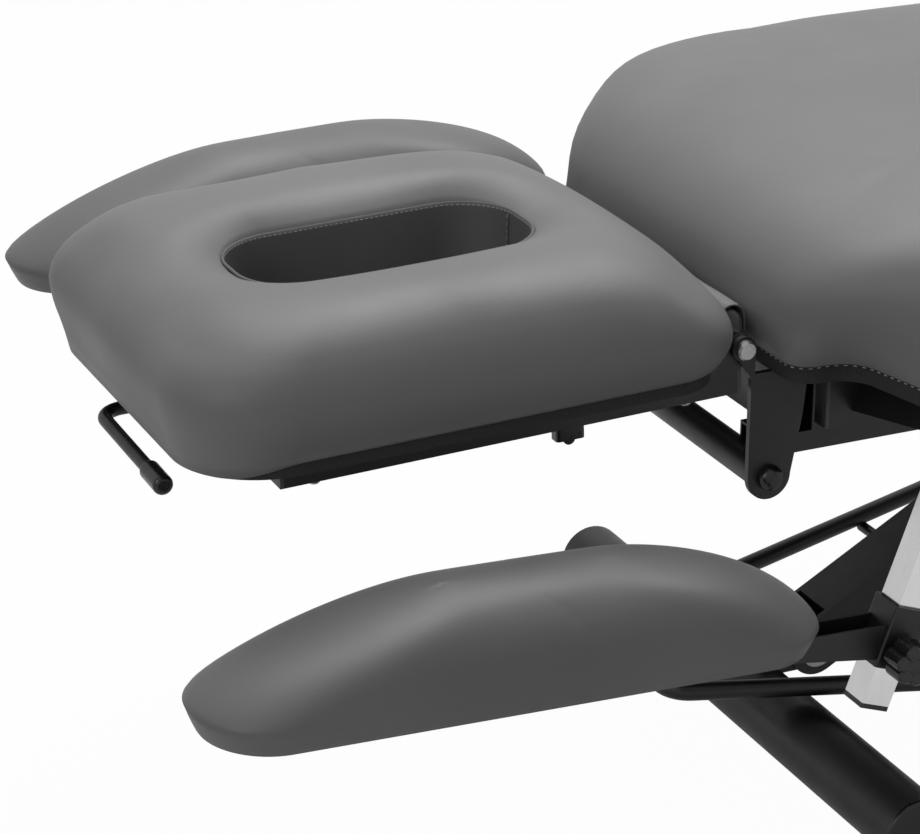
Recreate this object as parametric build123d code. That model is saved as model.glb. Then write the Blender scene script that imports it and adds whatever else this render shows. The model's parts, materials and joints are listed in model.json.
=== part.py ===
from build123d import *
from math import cos, radians, sin, tan
import os

# An electric massage table: a padded top on a steel frame, a parallel lift on two arms,
# a hinged head section with a face slot, two hanging armrests and a foot bar all round.
# Millimetres. X runs from the head end to the foot end, Y from near to far, Z up from the floor.
# Drawn with the head hinge near X 0, and set at the middle of the whole table when it is saved.

# Stock and general fits
tube_side = 25
tube_wall = 2
rail_height = 60
plate = 5
overrun = 20
soft_gap = 0.3
running_fit = 0.1
bolt_radius = 4

# Base
floor_tube_radius = 30
floor_tube_wall = 3
floor_tube_half = 286
floor_clearance = 20
head_floor_tube_x = 100
foot_floor_tube_x = 1100
spine_side = 40
spine_wall = 3
spine_drop = 18
foot_radius = 20
foot_pad_height = 8
foot_stem_radius = 6
foot_inset = 30
cap_depth = 4

# Lift
head_pivot_x = 160
arm_spacing = 400
arm_length = 600
arm_depth = 50
arm_wall = 4
arm_side_gap = 1
arm_web_start = 24
lift_angle = 29
pivot_pin_radius = 10
pin_head_radius = 16
pin_head_depth = 6
torsion_radius = 19
torsion_half = 118

# Actuator
actuator_pivot_x = 1040
actuator_pivot_rise = 43
actuator_arm_offset = 100
actuator_slip = 7.5
actuator_tube_radius = 18
actuator_tube_length = 245
actuator_rod_radius = 10
actuator_rod_reach = 215
actuator_pin_radius = 6
actuator_end_radius = 11
actuator_eye_width = 24
gearbox_length = 62
gearbox_half = 19
motor_radius = 19
motor_length = 92
motor_rise = 37
clevis_gap = 0.5
clevis_radius = 16

# Foot bar
bar_radius = 8
bar_rise = 93
bar_nose_half = 65
bar_nose_x = -4
bar_corner_radius = 25
bar_half_width = 255
bar_shoulder_half = 208
bar_shoulder_x = 408
bar_flat_x = 540
bar_shoulder_radius = 170
bar_rod_radius = 5
bar_rod_drop = 11
bar_rod_offset = 270
bar_travel = 4
bar_slot_side_gap = 0.5

# Top frame
rail_outer_y = 150
rail_over_shaft = 34.1
side_rail_start = 84
side_rail_end = 1440
lower_rail_inset = 20
lower_rail_start = 30
lower_rail_end = 1300
front_member_x = 45
cross_member_height = 40
cross_member_places = (390, 872, 1415)
plug_lip = 3
shaft_radius = 10
shaft_fit = 0.5

# Head hinge
hinge_x = 2
hinge_over_rail = 22
ear_radius = 10
ear_rise = 13
hinge_bracket_gap = 1
bracket_front_x = 9
bracket_back_x = 56
bracket_top_x = 60
bracket_knee_drop = 41
cross_tube_x = 28
cross_tube_radius = 14
cross_tube_drop = 111
cross_tube_wall = 2
bracket_foot_radius = 19
dome_radius = 10.5
dome_height = 9
bolt_head_radius = 8
bolt_head_height = 6

# Head section
head_rest_tilt = 2
head_rail_start = -377
head_rail_end = -1
head_board_height = 12
head_cushion_start = -461
head_cushion_end = -14
head_cushion_half = 200
head_cushion_height = 100
head_corner_radius = 78
head_hinge_corner_radius = 46
board_inset = 13
head_member_height = 16
head_member_width = 24
head_member_places = (-377, -62)
slot_start = -353
slot_end = -113
slot_half = 60
slot_radius = 50
slot_rim_drop = 19
liner_wall = 2
ear_base_length = 33
ear_base_height = 11
notch_gap = 2

# Main top
main_board_height = 15
main_cushion_start = 14
main_cushion_end = 1500
main_cushion_half = 350
main_cushion_height = 128
neck_half = 206
neck_radius = 25
shoulder_length = 316
foot_corner_radius = 60

# Flap over the head hinge
flap_thickness = 1.6
flap_half_width = 185
flap_arch_half = 12
flap_arch_rise = 39.01423
flap_leg_rise = 20.01423
flap_slit = (140, 161)

# Gas spring of the head section
gas_y = 90
gas_radius = 9
gas_length = 118
gas_rod_radius = 4
gas_rod_length = 112
gas_collar_radius = 20
gas_collar_width = 16
gas_end_x = -150
gas_end_drop = 36
gas_pin_radius = 4
gas_slip = 5.2
gas_eye_wall = 4
gas_eye_width = 10
gas_lug_wall = 4
gas_lug_gap = 1
gas_stub_inner_y = 76

# Release handle
handle_radius = 5.5
handle_y = 65
handle_drop = 29.98577
handle_corner_x = -448
handle_inner_x = -36
handle_length = 149
handle_droop = 1
handle_bend = 18
grip_radius = 8
grip_length = 36
guide_places = (-371, -56)
guide_length = 18
guide_half = 12
paddle_x = -172
paddle_length = 13
paddle_width = 10
paddle_thickness = 4

# Small fittings on the near head rail
latch_x = -141
latch_size = (24, 12, 13)
latch_roller_radius = 5
small_bolt_places = (-349, -40)
small_bolt_radius = 5
small_bolt_height = 6

# Armrests
arm_y = 290
post_lean = 20
sleeve_x = 62.5
sleeve_rise = 236
sleeve_side = 32
sleeve_half_length = 25
sleeve_fit = 0.5
sleeve_slot_half = 5
post_below_sleeve = {"near": 56, "far": 40}
post_top_gap = 1.3
bracket_rail_depth = 52
bracket_post_depth = 28
post_notch_x = (91, 153)
post_notch_y = 271
far_slide = 166
near_slide = 0
channel_wall = 2
channel_rim = 249
channel_end_x = -203
channel_pitch = 2.2
channel_root_depth = 30
channel_knee_x = -60
channel_knee_depth = 15
channel_tip_depth = 14
channel_tip_clearance = 1
pad_pin_x = -190
pad_pin_depth = 6
pad_pin_radius = 3
pad_tongue_half = 6
pad_tongue_radius = 5.4
pad_tongue_length = 20
pad_tilt_near = 0
pad_tilt_far = 4.5
pad_tilt_most = 8
pad_start = -507
pad_end = -12
pad_half_width = 62.5
pad_end_radius = 60
pad_board_height = 9
pad_board_inset = 12
pad_height = 88
knob_radius = 17
knob_lobes = 6
knob_lobe_radius = 6.5
knob_depth = 20
knob_stem_radius = 4
knob_stem_length = 6
knob_drop = 11

# Control box under the foot end
box_start = 1160
box_end = 1300
box_half = 78
box_height = 58
box_wall = 3
box_corner = 8
inlet_half = 14
inlet_height = 20
inlet_depth = 7
inlet_wall = 2
inlet_pin_radius = 1.5
inlet_pin_length = 5

# Each ring of a cushion as shares of its thickness: its height, its inset all round, and how much
# further its head end and its foot end are drawn in
head_shares = ((0, 0.12, 0.16, 0), (0.11, 0.05, 0.11, 0), (0.31, 0, 0.03, 0), (0.50, 0.01, 0.01, 0.01),
               (0.66, 0.07, 0.04, 0.03), (0.80, 0.17, 0.12, 0.10), (0.92, 0.34, 0.34, 0.28),
               (1, 0.60, 0.75, 0.62))
main_shares = ((0, 0.14, 0, 0), (0.10, 0.05, 0, 0), (0.30, 0, 0, 0), (0.52, 0.02, 0, 0), (0.74, 0.10, 0, 0),
               (0.90, 0.27, 0, 0), (1, 0.56, 0, 0))
pad_shares = ((0, 0.18, 0, 0), (0.06, 0.10, 0, 0), (0.14, 0.045, 0, 0), (0.24, 0, 0, 0),
              (0.35, 0.006, 0.18, 0.09), (0.48, 0.025, 0.50, 0.21), (0.60, 0.063, 0.83, 0.39),
              (0.71, 0.108, 1.13, 0.64), (0.81, 0.19, 1.42, 0.94), (0.895, 0.304, 1.65, 1.25),
              (0.96, 0.43, 1.84, 1.54), (1, 0.57, 1.97, 1.76))
# Height below the crown and outward flare of the face slot's soft rim, as shares of the rim's drop
slot_rim_shares = ((1, 0), (0.68, 0.10), (0.38, 0.40), (0.12, 0.95), (-0.15, 1.75))
# Corners of the shoulder line: share of the shoulder's length, share of its depth, and corner radius
# as a share of the shoulder's length
shoulder_shares = ((0.165, 0.012, 0.095), (0.222, 0.600, 0.120), (0.530, 0.862, 0.450), (1, 1, 0.950))

# Heights that follow from the lift
floor_tube_rise = floor_clearance + floor_tube_radius
pivot_rise = floor_tube_rise + floor_tube_radius + spine_side / 2 - spine_drop
foot_pivot_x = head_pivot_x + arm_spacing
shaft_rise = pivot_rise + arm_length * sin(radians(lift_angle))
head_shaft_x = head_pivot_x + arm_length * cos(radians(lift_angle))
foot_shaft_x = head_shaft_x + arm_spacing
side_rail_top = shaft_rise + rail_over_shaft
side_rail_bottom = side_rail_top - rail_height
lower_rail_bottom = side_rail_bottom - tube_side
main_board_top = side_rail_top + main_board_height
hinge_rise = side_rail_top + hinge_over_rail
head_rail_top = hinge_rise - ear_rise
head_board_top = head_rail_top + head_board_height
flap_arch_top = main_board_top + flap_arch_rise
flap_leg_bend = main_board_top + flap_leg_rise
handle_rise = head_rail_top - handle_drop
cross_tube_rise = hinge_rise - cross_tube_drop
rail_inner_y = rail_outer_y - tube_side
bracket_inner_y = rail_outer_y + hinge_bracket_gap
bracket_outer_y = bracket_inner_y + plate
arm_inner_half = spine_side / 2 + arm_side_gap
arm_half = arm_inner_half + arm_wall
bar_centre_x = (head_floor_tube_x + foot_floor_tube_x) / 2
lean = (sin(radians(post_lean)), cos(radians(post_lean)))
post_top = main_board_top - post_top_gap
post_above_sleeve = (post_top - sleeve_rise) / lean[1]
middle_x = (pad_start + main_cushion_end) / 2


def block(x_range, y_range, z_range):
    """A box between three pairs of limits."""
    ranges = (x_range, y_range, z_range)
    middle = [(low + high) / 2 for low, high in ranges]
    return Pos(*middle) * Box(*[high - low for low, high in ranges])


def bar_y(radius, x, z, y_range):
    """A round bar along Y."""
    low, high = y_range
    return Pos(x, (low + high) / 2, z) * Rot(90, 0, 0) * Cylinder(radius, high - low)


def bar_x(radius, y, z, x_range):
    """A round bar along X."""
    low, high = x_range
    return Pos((low + high) / 2, y, z) * Rot(0, 90, 0) * Cylinder(radius, high - low)


def square_tube(x_range, y_range, z_range, wall, along):
    """A rectangular tube, open at both ends, that runs along one axis."""
    ranges = [x_range, y_range, z_range]
    inner = [(low + wall, high - wall) for low, high in ranges]
    inner[along] = (ranges[along][0] - overrun, ranges[along][1] + overrun)
    return block(*ranges) - block(*inner)


def side_plate(face, y_range):
    """A flat face drawn in X and Z, given its thickness along Y."""
    low, high = y_range
    return Pos(0, low, 0) * extrude(Plane.XZ * face, amount=low - high)


def mirrored(shape):
    """The same shape on the other side of the table."""
    return mirror(shape, Plane.XZ)


def unchanged(shape):
    """The shape as it is, on the side of the table where it was drawn."""
    return shape


def pair(shape):
    """A near and a far copy, kept as two solids."""
    return Compound(children=[*shape.solids(), *mirrored(shape).solids()])


def group(shapes):
    """Several solids of one kind in one piece list."""
    return Compound(children=[solid for shape in shapes for solid in shape.solids()])


def turned(shape, x, z, angle):
    """Turns a shape about a line along Y, so that a positive angle lifts its foot side."""
    return Pos(x, 0, z) * Rot(0, -angle, 0) * Pos(-x, 0, -z) * shape


def turned_point(point, x, z, angle):
    """The place in X and Z that a point takes when it is turned about a line along Y."""
    across, up = point[0] - x, point[1] - z
    c, s = cos(radians(angle)), sin(radians(angle))
    return (x + across * c - up * s, z + across * s + up * c)


def on_head(shape):
    """Sets a level-drawn piece of the head section at its resting tilt."""
    return turned(shape, hinge_x, hinge_rise, head_rest_tilt)


def inset(corners, depth):
    """Moves each side of a counter-clockwise outline inward and meets them again."""
    moved = []
    for i, corner in enumerate(corners):
        arriving = (Vector(*corner) - Vector(*corners[i - 1])).normalized()
        leaving = (Vector(*corners[(i + 1) % len(corners)]) - Vector(*corner)).normalized()
        first, second = Vector(-arriving.Y, arriving.X), Vector(-leaving.Y, leaving.X)
        step = (first + second) * (depth / (1 + first.dot(second)))
        moved.append((corner[0] + step.X, corner[1] + step.Y))
    return moved


def rounded_face(corners, radii, depth, half_width, z):
    """An outline with rounded corners, moved inward by a depth, as a face at one height."""
    scale = (half_width - depth) / half_width
    line = FilletPolyline(*inset(corners, depth), radius=[radius * scale for radius in radii], close=True)
    return Pos(0, 0, z) * make_face(line)


def cushion(corners, radii, half_width, bottom, height, shares):
    """A padded form: drawn in at its foot, fullest below the middle and crowned on top."""
    middle = (min(x for x, y in corners) + max(x for x, y in corners)) / 2
    rings = []
    for share, inset_share, head_share, foot_share in shares:
        drawn = [(x + head_share * height if x < middle else x - foot_share * height, y) for x, y in corners]
        rings.append(rounded_face(drawn, radii, inset_share * height, half_width, bottom + share * height))
    return loft(rings)


def head_outline():
    """Corners and radii of the head cushion."""
    x0, x1, y = head_cushion_start, head_cushion_end, head_cushion_half
    corners = [(x0, -y), (x1, -y), (x1, y), (x0, y)]
    free, hinge = head_corner_radius, head_hinge_corner_radius
    return corners, [free, hinge, hinge, free]


def main_outline():
    """Corners and radii of the main cushion, with the neck and the shoulder at its head end."""
    depth = main_cushion_half - neck_half
    near = [(main_cushion_start, -neck_half)]
    radii = [neck_radius]
    for along, out, radius in shoulder_shares:
        near.append((main_cushion_start + along * shoulder_length, -(neck_half + out * depth)))
        radii.append(radius * shoulder_length)
    near.append((main_cushion_end, -main_cushion_half))
    radii.append(foot_corner_radius)
    return near + [(x, -y) for x, y in reversed(near)], radii + radii[::-1]


def slot_outline():
    """Corners and radii of the face slot."""
    x0, x1, y = slot_start, slot_end, slot_half
    return [(x0, -y), (x1, -y), (x1, y), (x0, y)], [slot_radius] * 4


def slot_prism(grow, z_range):
    """The face slot as a straight-sided solid, grown outward all round."""
    corners, radii = slot_outline()
    low, high = z_range
    return extrude(rounded_face(corners, radii, -grow, slot_half, low), amount=high - low)


def build_base():
    """Two floor tubes joined by a spine, with their caps, feet, pins and the actuator's clevis."""
    spine_y = (-spine_side / 2, spine_side / 2)
    spine_z = (pivot_rise - spine_side / 2, pivot_rise + spine_side / 2)
    spine = square_tube((head_floor_tube_x, foot_floor_tube_x), spine_y, spine_z, spine_wall, 0)
    tubes, caps, feet = [], [], []
    for x in (head_floor_tube_x, foot_floor_tube_x):
        span = (-floor_tube_half, floor_tube_half)
        solid_bar = bar_y(floor_tube_radius, x, floor_tube_rise, span)
        spine -= solid_bar
        bore = bar_y(floor_tube_radius - floor_tube_wall, x, floor_tube_rise, (-floor_tube_half - overrun,
                                                                               floor_tube_half + overrun))
        tube = solid_bar - bore
        lip = bar_y(floor_tube_radius, x, floor_tube_rise, (floor_tube_half, floor_tube_half + cap_depth))
        cap = fillet(lip.edges().sort_by(Axis.Y)[-1], cap_depth / 2)
        plug = bar_y(floor_tube_radius - floor_tube_wall, x, floor_tube_rise,
                     (floor_tube_half - overrun, floor_tube_half))
        caps.append(pair(cap + plug))
        foot_y = floor_tube_half - foot_inset
        stem_low = floor_tube_rise - floor_tube_radius - cap_depth
        pad = Pos(x, foot_y, foot_pad_height / 2) * Cylinder(foot_radius, foot_pad_height)
        pad = chamfer(pad.edges().sort_by(Axis.Z)[-1], cap_depth)
        stem = Pos(x, foot_y, (foot_pad_height + floor_tube_rise) / 2)
        stem = stem * Cylinder(foot_stem_radius, floor_tube_rise - foot_pad_height)
        tube -= stem + mirrored(stem)
        nut = Pos(x, foot_y, stem_low) * extrude(RegularPolygon(2 * foot_stem_radius, 6), amount=cap_depth)
        feet.append(pair(pad + stem + (nut - solid_bar)))
        tubes.append(tube)
    slot_height = 2 * (bar_rod_radius + bar_travel) + bar_slot_side_gap * 2
    for x in (bar_centre_x - bar_rod_offset, bar_centre_x + bar_rod_offset):
        half = bar_rod_radius + bar_slot_side_gap
        middle = bar_rise - bar_rod_drop
        spine -= block((x - half, x + half), (-overrun * 2, overrun * 2),
                       (middle - slot_height / 2, middle + slot_height / 2))
    pins = []
    for x in (head_pivot_x, foot_pivot_x):
        shank = bar_y(pivot_pin_radius, x, pivot_rise, (-arm_half, arm_half))
        head = bar_y(pin_head_radius, x, pivot_rise, (arm_half, arm_half + pin_head_depth))
        head = chamfer(head.edges().sort_by(Axis.Y)[-1], pin_head_depth / 3)
        pins.append(shank + head + mirrored(head))
        spine -= shank
    save(spine, "base_spine")
    save(group(tubes), "floor_tubes")
    save(group(pins), "lower_pivot_pins")
    save(group(caps), "floor_tube_caps")
    save(group(feet), "levelling_feet")
    save(actuator_clevis(spine_z[1]), "actuator_clevis")


def actuator_pivot():
    """The place of the actuator's lower pin in X and Z."""
    return (actuator_pivot_x, pivot_rise + actuator_pivot_rise)


def actuator_top():
    """The place of the actuator's upper pin, on the axis of the foot arm."""
    angle = radians(lift_angle)
    return (foot_pivot_x + actuator_arm_offset * cos(angle), pivot_rise + actuator_arm_offset * sin(angle))


def actuator_clevis(spine_top):
    """Two upright ears on the spine with the pin that the actuator turns on."""
    x, z = actuator_pivot()
    inner = actuator_eye_width / 2 + clevis_gap
    upright = make_face(Polyline((x - clevis_radius, spine_top), (x + 2 * clevis_radius, spine_top),
                                 (x + clevis_radius, z), (x - clevis_radius, z), close=True))
    ear = side_plate(upright, (inner, inner + plate)) + bar_y(clevis_radius, x, z, (inner, inner + plate))
    pin = bar_y(actuator_pin_radius, x, z, (-inner - plate, inner + plate))
    head = bar_y(bolt_head_radius, x, z, (inner + plate, inner + plate + cap_depth))
    return group([pair(ear - pin), pin + head + mirrored(head)])


def arm(pivot_x, cut_for_actuator):
    """An inverted channel, open underneath, with cheeks about its lower pin."""
    half = arm_depth / 2
    outer = Pos(arm_length / 2, 0) * SlotCenterToCenter(arm_length, arm_depth)
    outer = side_plate(outer, (-arm_half, arm_half))
    reach = (-overrun - half, arm_length + overrun + half)
    inner_y = (-arm_inner_half, arm_inner_half)
    shape = outer - block(reach, inner_y, (-half - overrun, half - arm_wall))
    shape -= block((-overrun - half, arm_web_start), inner_y, (-half - overrun, half + overrun))
    across = (-arm_half - overrun, arm_half + overrun)
    shape -= bar_y(pivot_pin_radius + running_fit, 0, 0, across)
    shape -= bar_y(torsion_radius, arm_length, 0, across)
    shape -= block((arm_length, arm_length + half + overrun), across, (-half - overrun, half + overrun))
    if cut_for_actuator:
        shape -= bar_y(actuator_pin_radius + actuator_slip, actuator_arm_offset, 0, across)
    return Pos(pivot_x, 0, pivot_rise) * Rot(0, -lift_angle, 0) * shape


def build_lift():
    """The two equal arms and the torsion tubes across their upper ends."""
    across = (-torsion_half, torsion_half)
    beyond = (-torsion_half - overrun, torsion_half + overrun)
    ends = (("head", head_pivot_x, head_shaft_x), ("foot", foot_pivot_x, foot_shaft_x))
    for name, pivot_x, shaft_x in ends:
        save(arm(pivot_x, name == "foot"), name + "_lift_arm")
        bore = shaft_radius + (shaft_fit if name == "foot" else running_fit)
        tube = bar_y(torsion_radius, shaft_x, shaft_rise, across)
        save(tube - bar_y(bore, shaft_x, shaft_rise, beyond), name + "_torsion_tube")


def along_actuator(shape):
    """Lays a shape drawn along +X on the line from the actuator's lower pin to its upper pin."""
    (x0, z0), (x1, z1) = actuator_pivot(), actuator_top()
    slope = (Vector(x1, z1) - Vector(x0, z0)).get_angle(Vector(-1, 0))
    return Pos(x0, 0, z0) * Rot(0, slope if z1 > z0 else -slope, 0) * Rot(0, 0, 180) * shape


def actuator_span():
    """Distance between the actuator's two pins."""
    (x0, z0), (x1, z1) = actuator_pivot(), actuator_top()
    return (Vector(x1, z1) - Vector(x0, z0)).length


def build_actuator():
    """A linear drive: gearbox with eye, outer tube, motor above, and the rod with its cross pin."""
    eye_y = (-actuator_eye_width / 2, actuator_eye_width / 2)
    pin = bar_y(actuator_pin_radius + running_fit, 0, 0, (-gearbox_half * 2, gearbox_half * 2))
    gearbox_start = clevis_radius + cap_depth
    gearbox = block((gearbox_start, gearbox_start + gearbox_length), (-gearbox_half, gearbox_half),
                    (-gearbox_half, motor_rise + motor_radius))
    gearbox = fillet(gearbox.edges().filter_by(Axis.X), cap_depth)
    eye = block((0, gearbox_start), eye_y, (-actuator_end_radius, actuator_end_radius))
    eye += bar_y(actuator_end_radius, 0, 0, eye_y)
    save(along_actuator(gearbox + eye - pin), "actuator_gearbox")
    tube_start = gearbox_start + gearbox_length
    tube = bar_x(actuator_tube_radius, 0, 0, (tube_start, actuator_tube_length))
    rod_bore = bar_x(actuator_rod_radius + running_fit, 0, 0, (tube_start + cap_depth, actuator_tube_length
                                                              + overrun))
    save(along_actuator(tube - rod_bore), "actuator_tube")
    motor = bar_x(motor_radius, 0, motor_rise, (tube_start, tube_start + motor_length))
    motor = fillet(motor.edges().sort_by(Axis.X)[-1], cap_depth)
    motor -= bar_x(actuator_tube_radius + soft_gap, 0, 0, (0, actuator_tube_length + overrun))
    save(along_actuator(motor), "actuator_motor")
    span = actuator_span()
    rod = bar_x(actuator_rod_radius, 0, 0, (span - actuator_rod_reach, span))
    rod += bar_y(actuator_end_radius, span, 0, (-actuator_rod_radius, actuator_rod_radius))
    cross_pin = bar_y(actuator_pin_radius, span, 0, (-arm_half, arm_half))
    save(along_actuator(rod + cross_pin), "actuator_rod")


def bar_line():
    """Centre line of the foot bar: a long ring with a narrow nose at each end."""
    quarter = [(bar_nose_x, bar_nose_half), (bar_shoulder_x, bar_shoulder_half), (bar_flat_x, bar_half_width)]
    quarter_radii = [bar_corner_radius, bar_shoulder_radius * 2, bar_shoulder_radius]
    side = quarter + [(2 * bar_centre_x - x, y) for x, y in reversed(quarter)]
    radii = quarter_radii + quarter_radii[::-1]
    ring = [(x, -y) for x, y in side] + list(reversed(side))
    return FilletPolyline(*ring, radius=radii + radii[::-1], close=True)


def bar_half_at(x):
    """Half width of the foot bar on its straight flare."""
    flare = (bar_shoulder_half - bar_nose_half) / (bar_shoulder_x - bar_nose_x)
    return bar_nose_half + (x - bar_nose_x) * flare


def build_foot_bar():
    """The ring that switches the lift when it is pressed, and the two rods that guide it in the spine."""
    line = Pos(0, 0, bar_rise) * bar_line()
    section = Plane(line @ 0, z_dir=line % 0) * Circle(bar_radius)
    ring = sweep(section, path=line)
    rods = []
    for x in (bar_centre_x - bar_rod_offset, bar_centre_x + bar_rod_offset):
        half = bar_half_at(bar_centre_x - bar_rod_offset)
        rods.append(bar_y(bar_rod_radius, x, bar_rise - bar_rod_drop, (-half, half)) - ring)
    save(ring, "foot_bar_ring")
    save(group(rods), "foot_bar_rods")


def rail_plug(x, y_range, z_range, outward):
    """A closing plug: a thin lip on the tube's end and a body pressed inside it."""
    lip = block(sorted((x, x + outward * plug_lip)), y_range, z_range)
    inner_y = (y_range[0] + tube_wall, y_range[1] - tube_wall)
    inner_z = (z_range[0] + tube_wall, z_range[1] - tube_wall)
    return lip + block(sorted((x, x - outward * overrun)), inner_y, inner_z)


def build_frame():
    """Rails, cross members and shafts of the top frame."""
    rail_y = (rail_inner_y, rail_outer_y)
    rail_z = (side_rail_bottom, side_rail_top)
    rail = square_tube((side_rail_start, side_rail_end), rail_y, rail_z, tube_wall, 0)
    across = (-rail_outer_y - overrun, rail_outer_y + overrun)
    for x in (head_shaft_x, foot_shaft_x):
        rail -= bar_y(shaft_radius, x, shaft_rise, across)
    save(pair(rail), "side_rails")
    ends = ((side_rail_start, -1), (side_rail_end, 1))
    plugs = [pair(rail_plug(x, rail_y, rail_z, sign)) for x, sign in ends]
    save(group(plugs), "side_rail_plugs")
    lower_y = (rail_inner_y - lower_rail_inset, rail_outer_y - lower_rail_inset)
    lower_z = (lower_rail_bottom, side_rail_bottom)
    lower = square_tube((lower_rail_start, lower_rail_end), lower_y, lower_z, tube_wall, 0)
    lower -= bar_y(cross_tube_radius, cross_tube_x, cross_tube_rise, across)
    save(pair(lower), "lower_rails")
    front = square_tube((front_member_x, front_member_x + tube_side), (-bracket_inner_y, bracket_inner_y),
                        rail_z, tube_wall, 1)
    save(front, "front_cross_member")
    members = [
        square_tube((x, x + tube_side), (-rail_inner_y, rail_inner_y),
                    (side_rail_top - cross_member_height, side_rail_top), tube_wall, 1)
        for x in cross_member_places
    ]
    save(group(members), "frame_cross_members")
    shafts = []
    for x in (head_shaft_x, foot_shaft_x):
        shaft = bar_y(shaft_radius, x, shaft_rise, (-rail_outer_y - cap_depth, rail_outer_y + cap_depth))
        shafts.append(chamfer(shaft.edges().filter_by(GeomType.CIRCLE), cap_depth / 4))
    save(group(shafts), "frame_shafts")


def hinge_bracket():
    """The far bracket plate: an ear at the head hinge, a foot round the cross tube and a flat back."""
    knee = hinge_rise - bracket_knee_drop - hinge_over_rail
    under_board = side_rail_top
    outline = Polyline(
        (bracket_front_x, cross_tube_rise), (bracket_front_x, under_board - cap_depth),
        (hinge_x - ear_radius, hinge_rise), (hinge_x + ear_radius, hinge_rise),
        (hinge_x + ear_radius, under_board), (bracket_top_x, under_board), (bracket_back_x, knee),
        (cross_tube_x + bracket_foot_radius, cross_tube_rise), close=True)
    span = (bracket_inner_y, bracket_outer_y)
    shape = side_plate(make_face(outline), span)
    shape += bar_y(ear_radius, hinge_x, hinge_rise, span)
    shape += bar_y(bracket_foot_radius, cross_tube_x, cross_tube_rise, span)
    return shape - bar_y(bolt_radius, hinge_x, hinge_rise, (0, bracket_outer_y + overrun))


def build_hinge():
    """Brackets, the cross tube with its domed caps and the two hinge bolts."""
    save(pair(hinge_bracket()), "hinge_brackets")
    span = (-bracket_inner_y, bracket_inner_y)
    tube = bar_y(cross_tube_radius, cross_tube_x, cross_tube_rise, span)
    bore = bar_y(cross_tube_radius - cross_tube_wall, cross_tube_x, cross_tube_rise,
                 (-bracket_outer_y, bracket_outer_y))
    save(tube - bore, "cross_tube")
    dome = bar_y(dome_radius, cross_tube_x, cross_tube_rise, (bracket_outer_y, bracket_outer_y + dome_height))
    dome = fillet(dome.edges().sort_by(Axis.Y)[-1], dome_height * 2 / 3)
    save(pair(dome), "cross_tube_domes")
    shank = bar_y(bolt_radius, hinge_x, hinge_rise, (rail_outer_y - plate, bracket_outer_y))
    head = bar_y(bolt_head_radius, hinge_x, hinge_rise, (bracket_outer_y, bracket_outer_y + bolt_head_height))
    head = chamfer(head.edges().sort_by(Axis.Y)[-1], bolt_head_height / 4)
    nut_y = rail_outer_y - plate - hinge_bracket_gap / 2
    nut = bar_y(bolt_head_radius, hinge_x, hinge_rise, (nut_y - bolt_head_height, nut_y))
    neck = bar_y(bolt_radius, hinge_x, hinge_rise, (nut_y - bolt_head_height, rail_outer_y))
    save(pair(shank + head + nut + neck), "hinge_bolts")


def build_head_frame():
    """Rails, plugs, cross members, ears and the gas spring's lug of the head section."""
    rail_y = (rail_inner_y, rail_outer_y)
    rail_z = (head_rail_top - tube_side, head_rail_top)
    rail = square_tube((head_rail_start, head_rail_end), rail_y, rail_z, tube_wall, 0)
    save(on_head(pair(rail)), "head_rails")
    plugs = group([pair(rail_plug(head_rail_start, rail_y, rail_z, -1)), pair(rail_plug(head_rail_end, rail_y,
                                                                                     rail_z, 1))])
    save(on_head(plugs), "head_rail_plugs")
    member_z = (head_rail_top - head_member_height, head_rail_top)
    members = [
        square_tube((x, x + head_member_width), (-rail_inner_y, rail_inner_y), member_z, tube_wall, 1)
        for x in head_member_places
    ]
    stub = square_tube((gas_end_x - head_member_width / 2, gas_end_x + head_member_width / 2),
                       (gas_stub_inner_y, rail_inner_y), member_z, tube_wall, 1)
    save(on_head(group(members + [stub])), "head_cross_members")
    ear_face = Polyline(
        (head_rail_end - ear_base_length, head_rail_top), (head_rail_end, head_rail_top),
        (hinge_x + ear_radius, hinge_rise), (hinge_x - ear_radius, hinge_rise),
        (hinge_x - ear_radius, head_rail_top + ear_base_height),
        (head_rail_end - ear_base_length, head_rail_top + ear_base_height), close=True)
    span = (rail_outer_y - plate, rail_outer_y)
    ear = side_plate(make_face(ear_face), span) + bar_y(ear_radius, hinge_x, hinge_rise, span)
    ear -= bar_y(bolt_radius + running_fit, hinge_x, hinge_rise, (0, rail_outer_y + overrun))
    save(on_head(pair(ear)), "head_hinge_ears")
    lug_y = gas_y + gas_eye_width / 2 + gas_lug_gap
    lug_low = head_rail_top - head_member_height
    pin_z = head_rail_top - gas_end_drop
    lug_face = Polyline((gas_end_x - 2 * gas_pin_radius, pin_z), (gas_end_x + 2 * gas_pin_radius, pin_z),
                        (gas_end_x + 3 * gas_pin_radius, lug_low), (gas_end_x - 3 * gas_pin_radius, lug_low),
                        close=True)
    across = (lug_y, lug_y + gas_lug_wall)
    lug = side_plate(make_face(lug_face), across) + bar_y(2 * gas_pin_radius, gas_end_x, pin_z, across)
    other = Pos(0, 2 * gas_y, 0) * mirrored(lug)
    pin = bar_y(gas_pin_radius, gas_end_x, pin_z, (2 * gas_y - lug_y - gas_lug_wall, lug_y + gas_lug_wall))
    save(on_head(group([lug - pin, other - pin, pin])), "gas_spring_lug")


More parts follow.
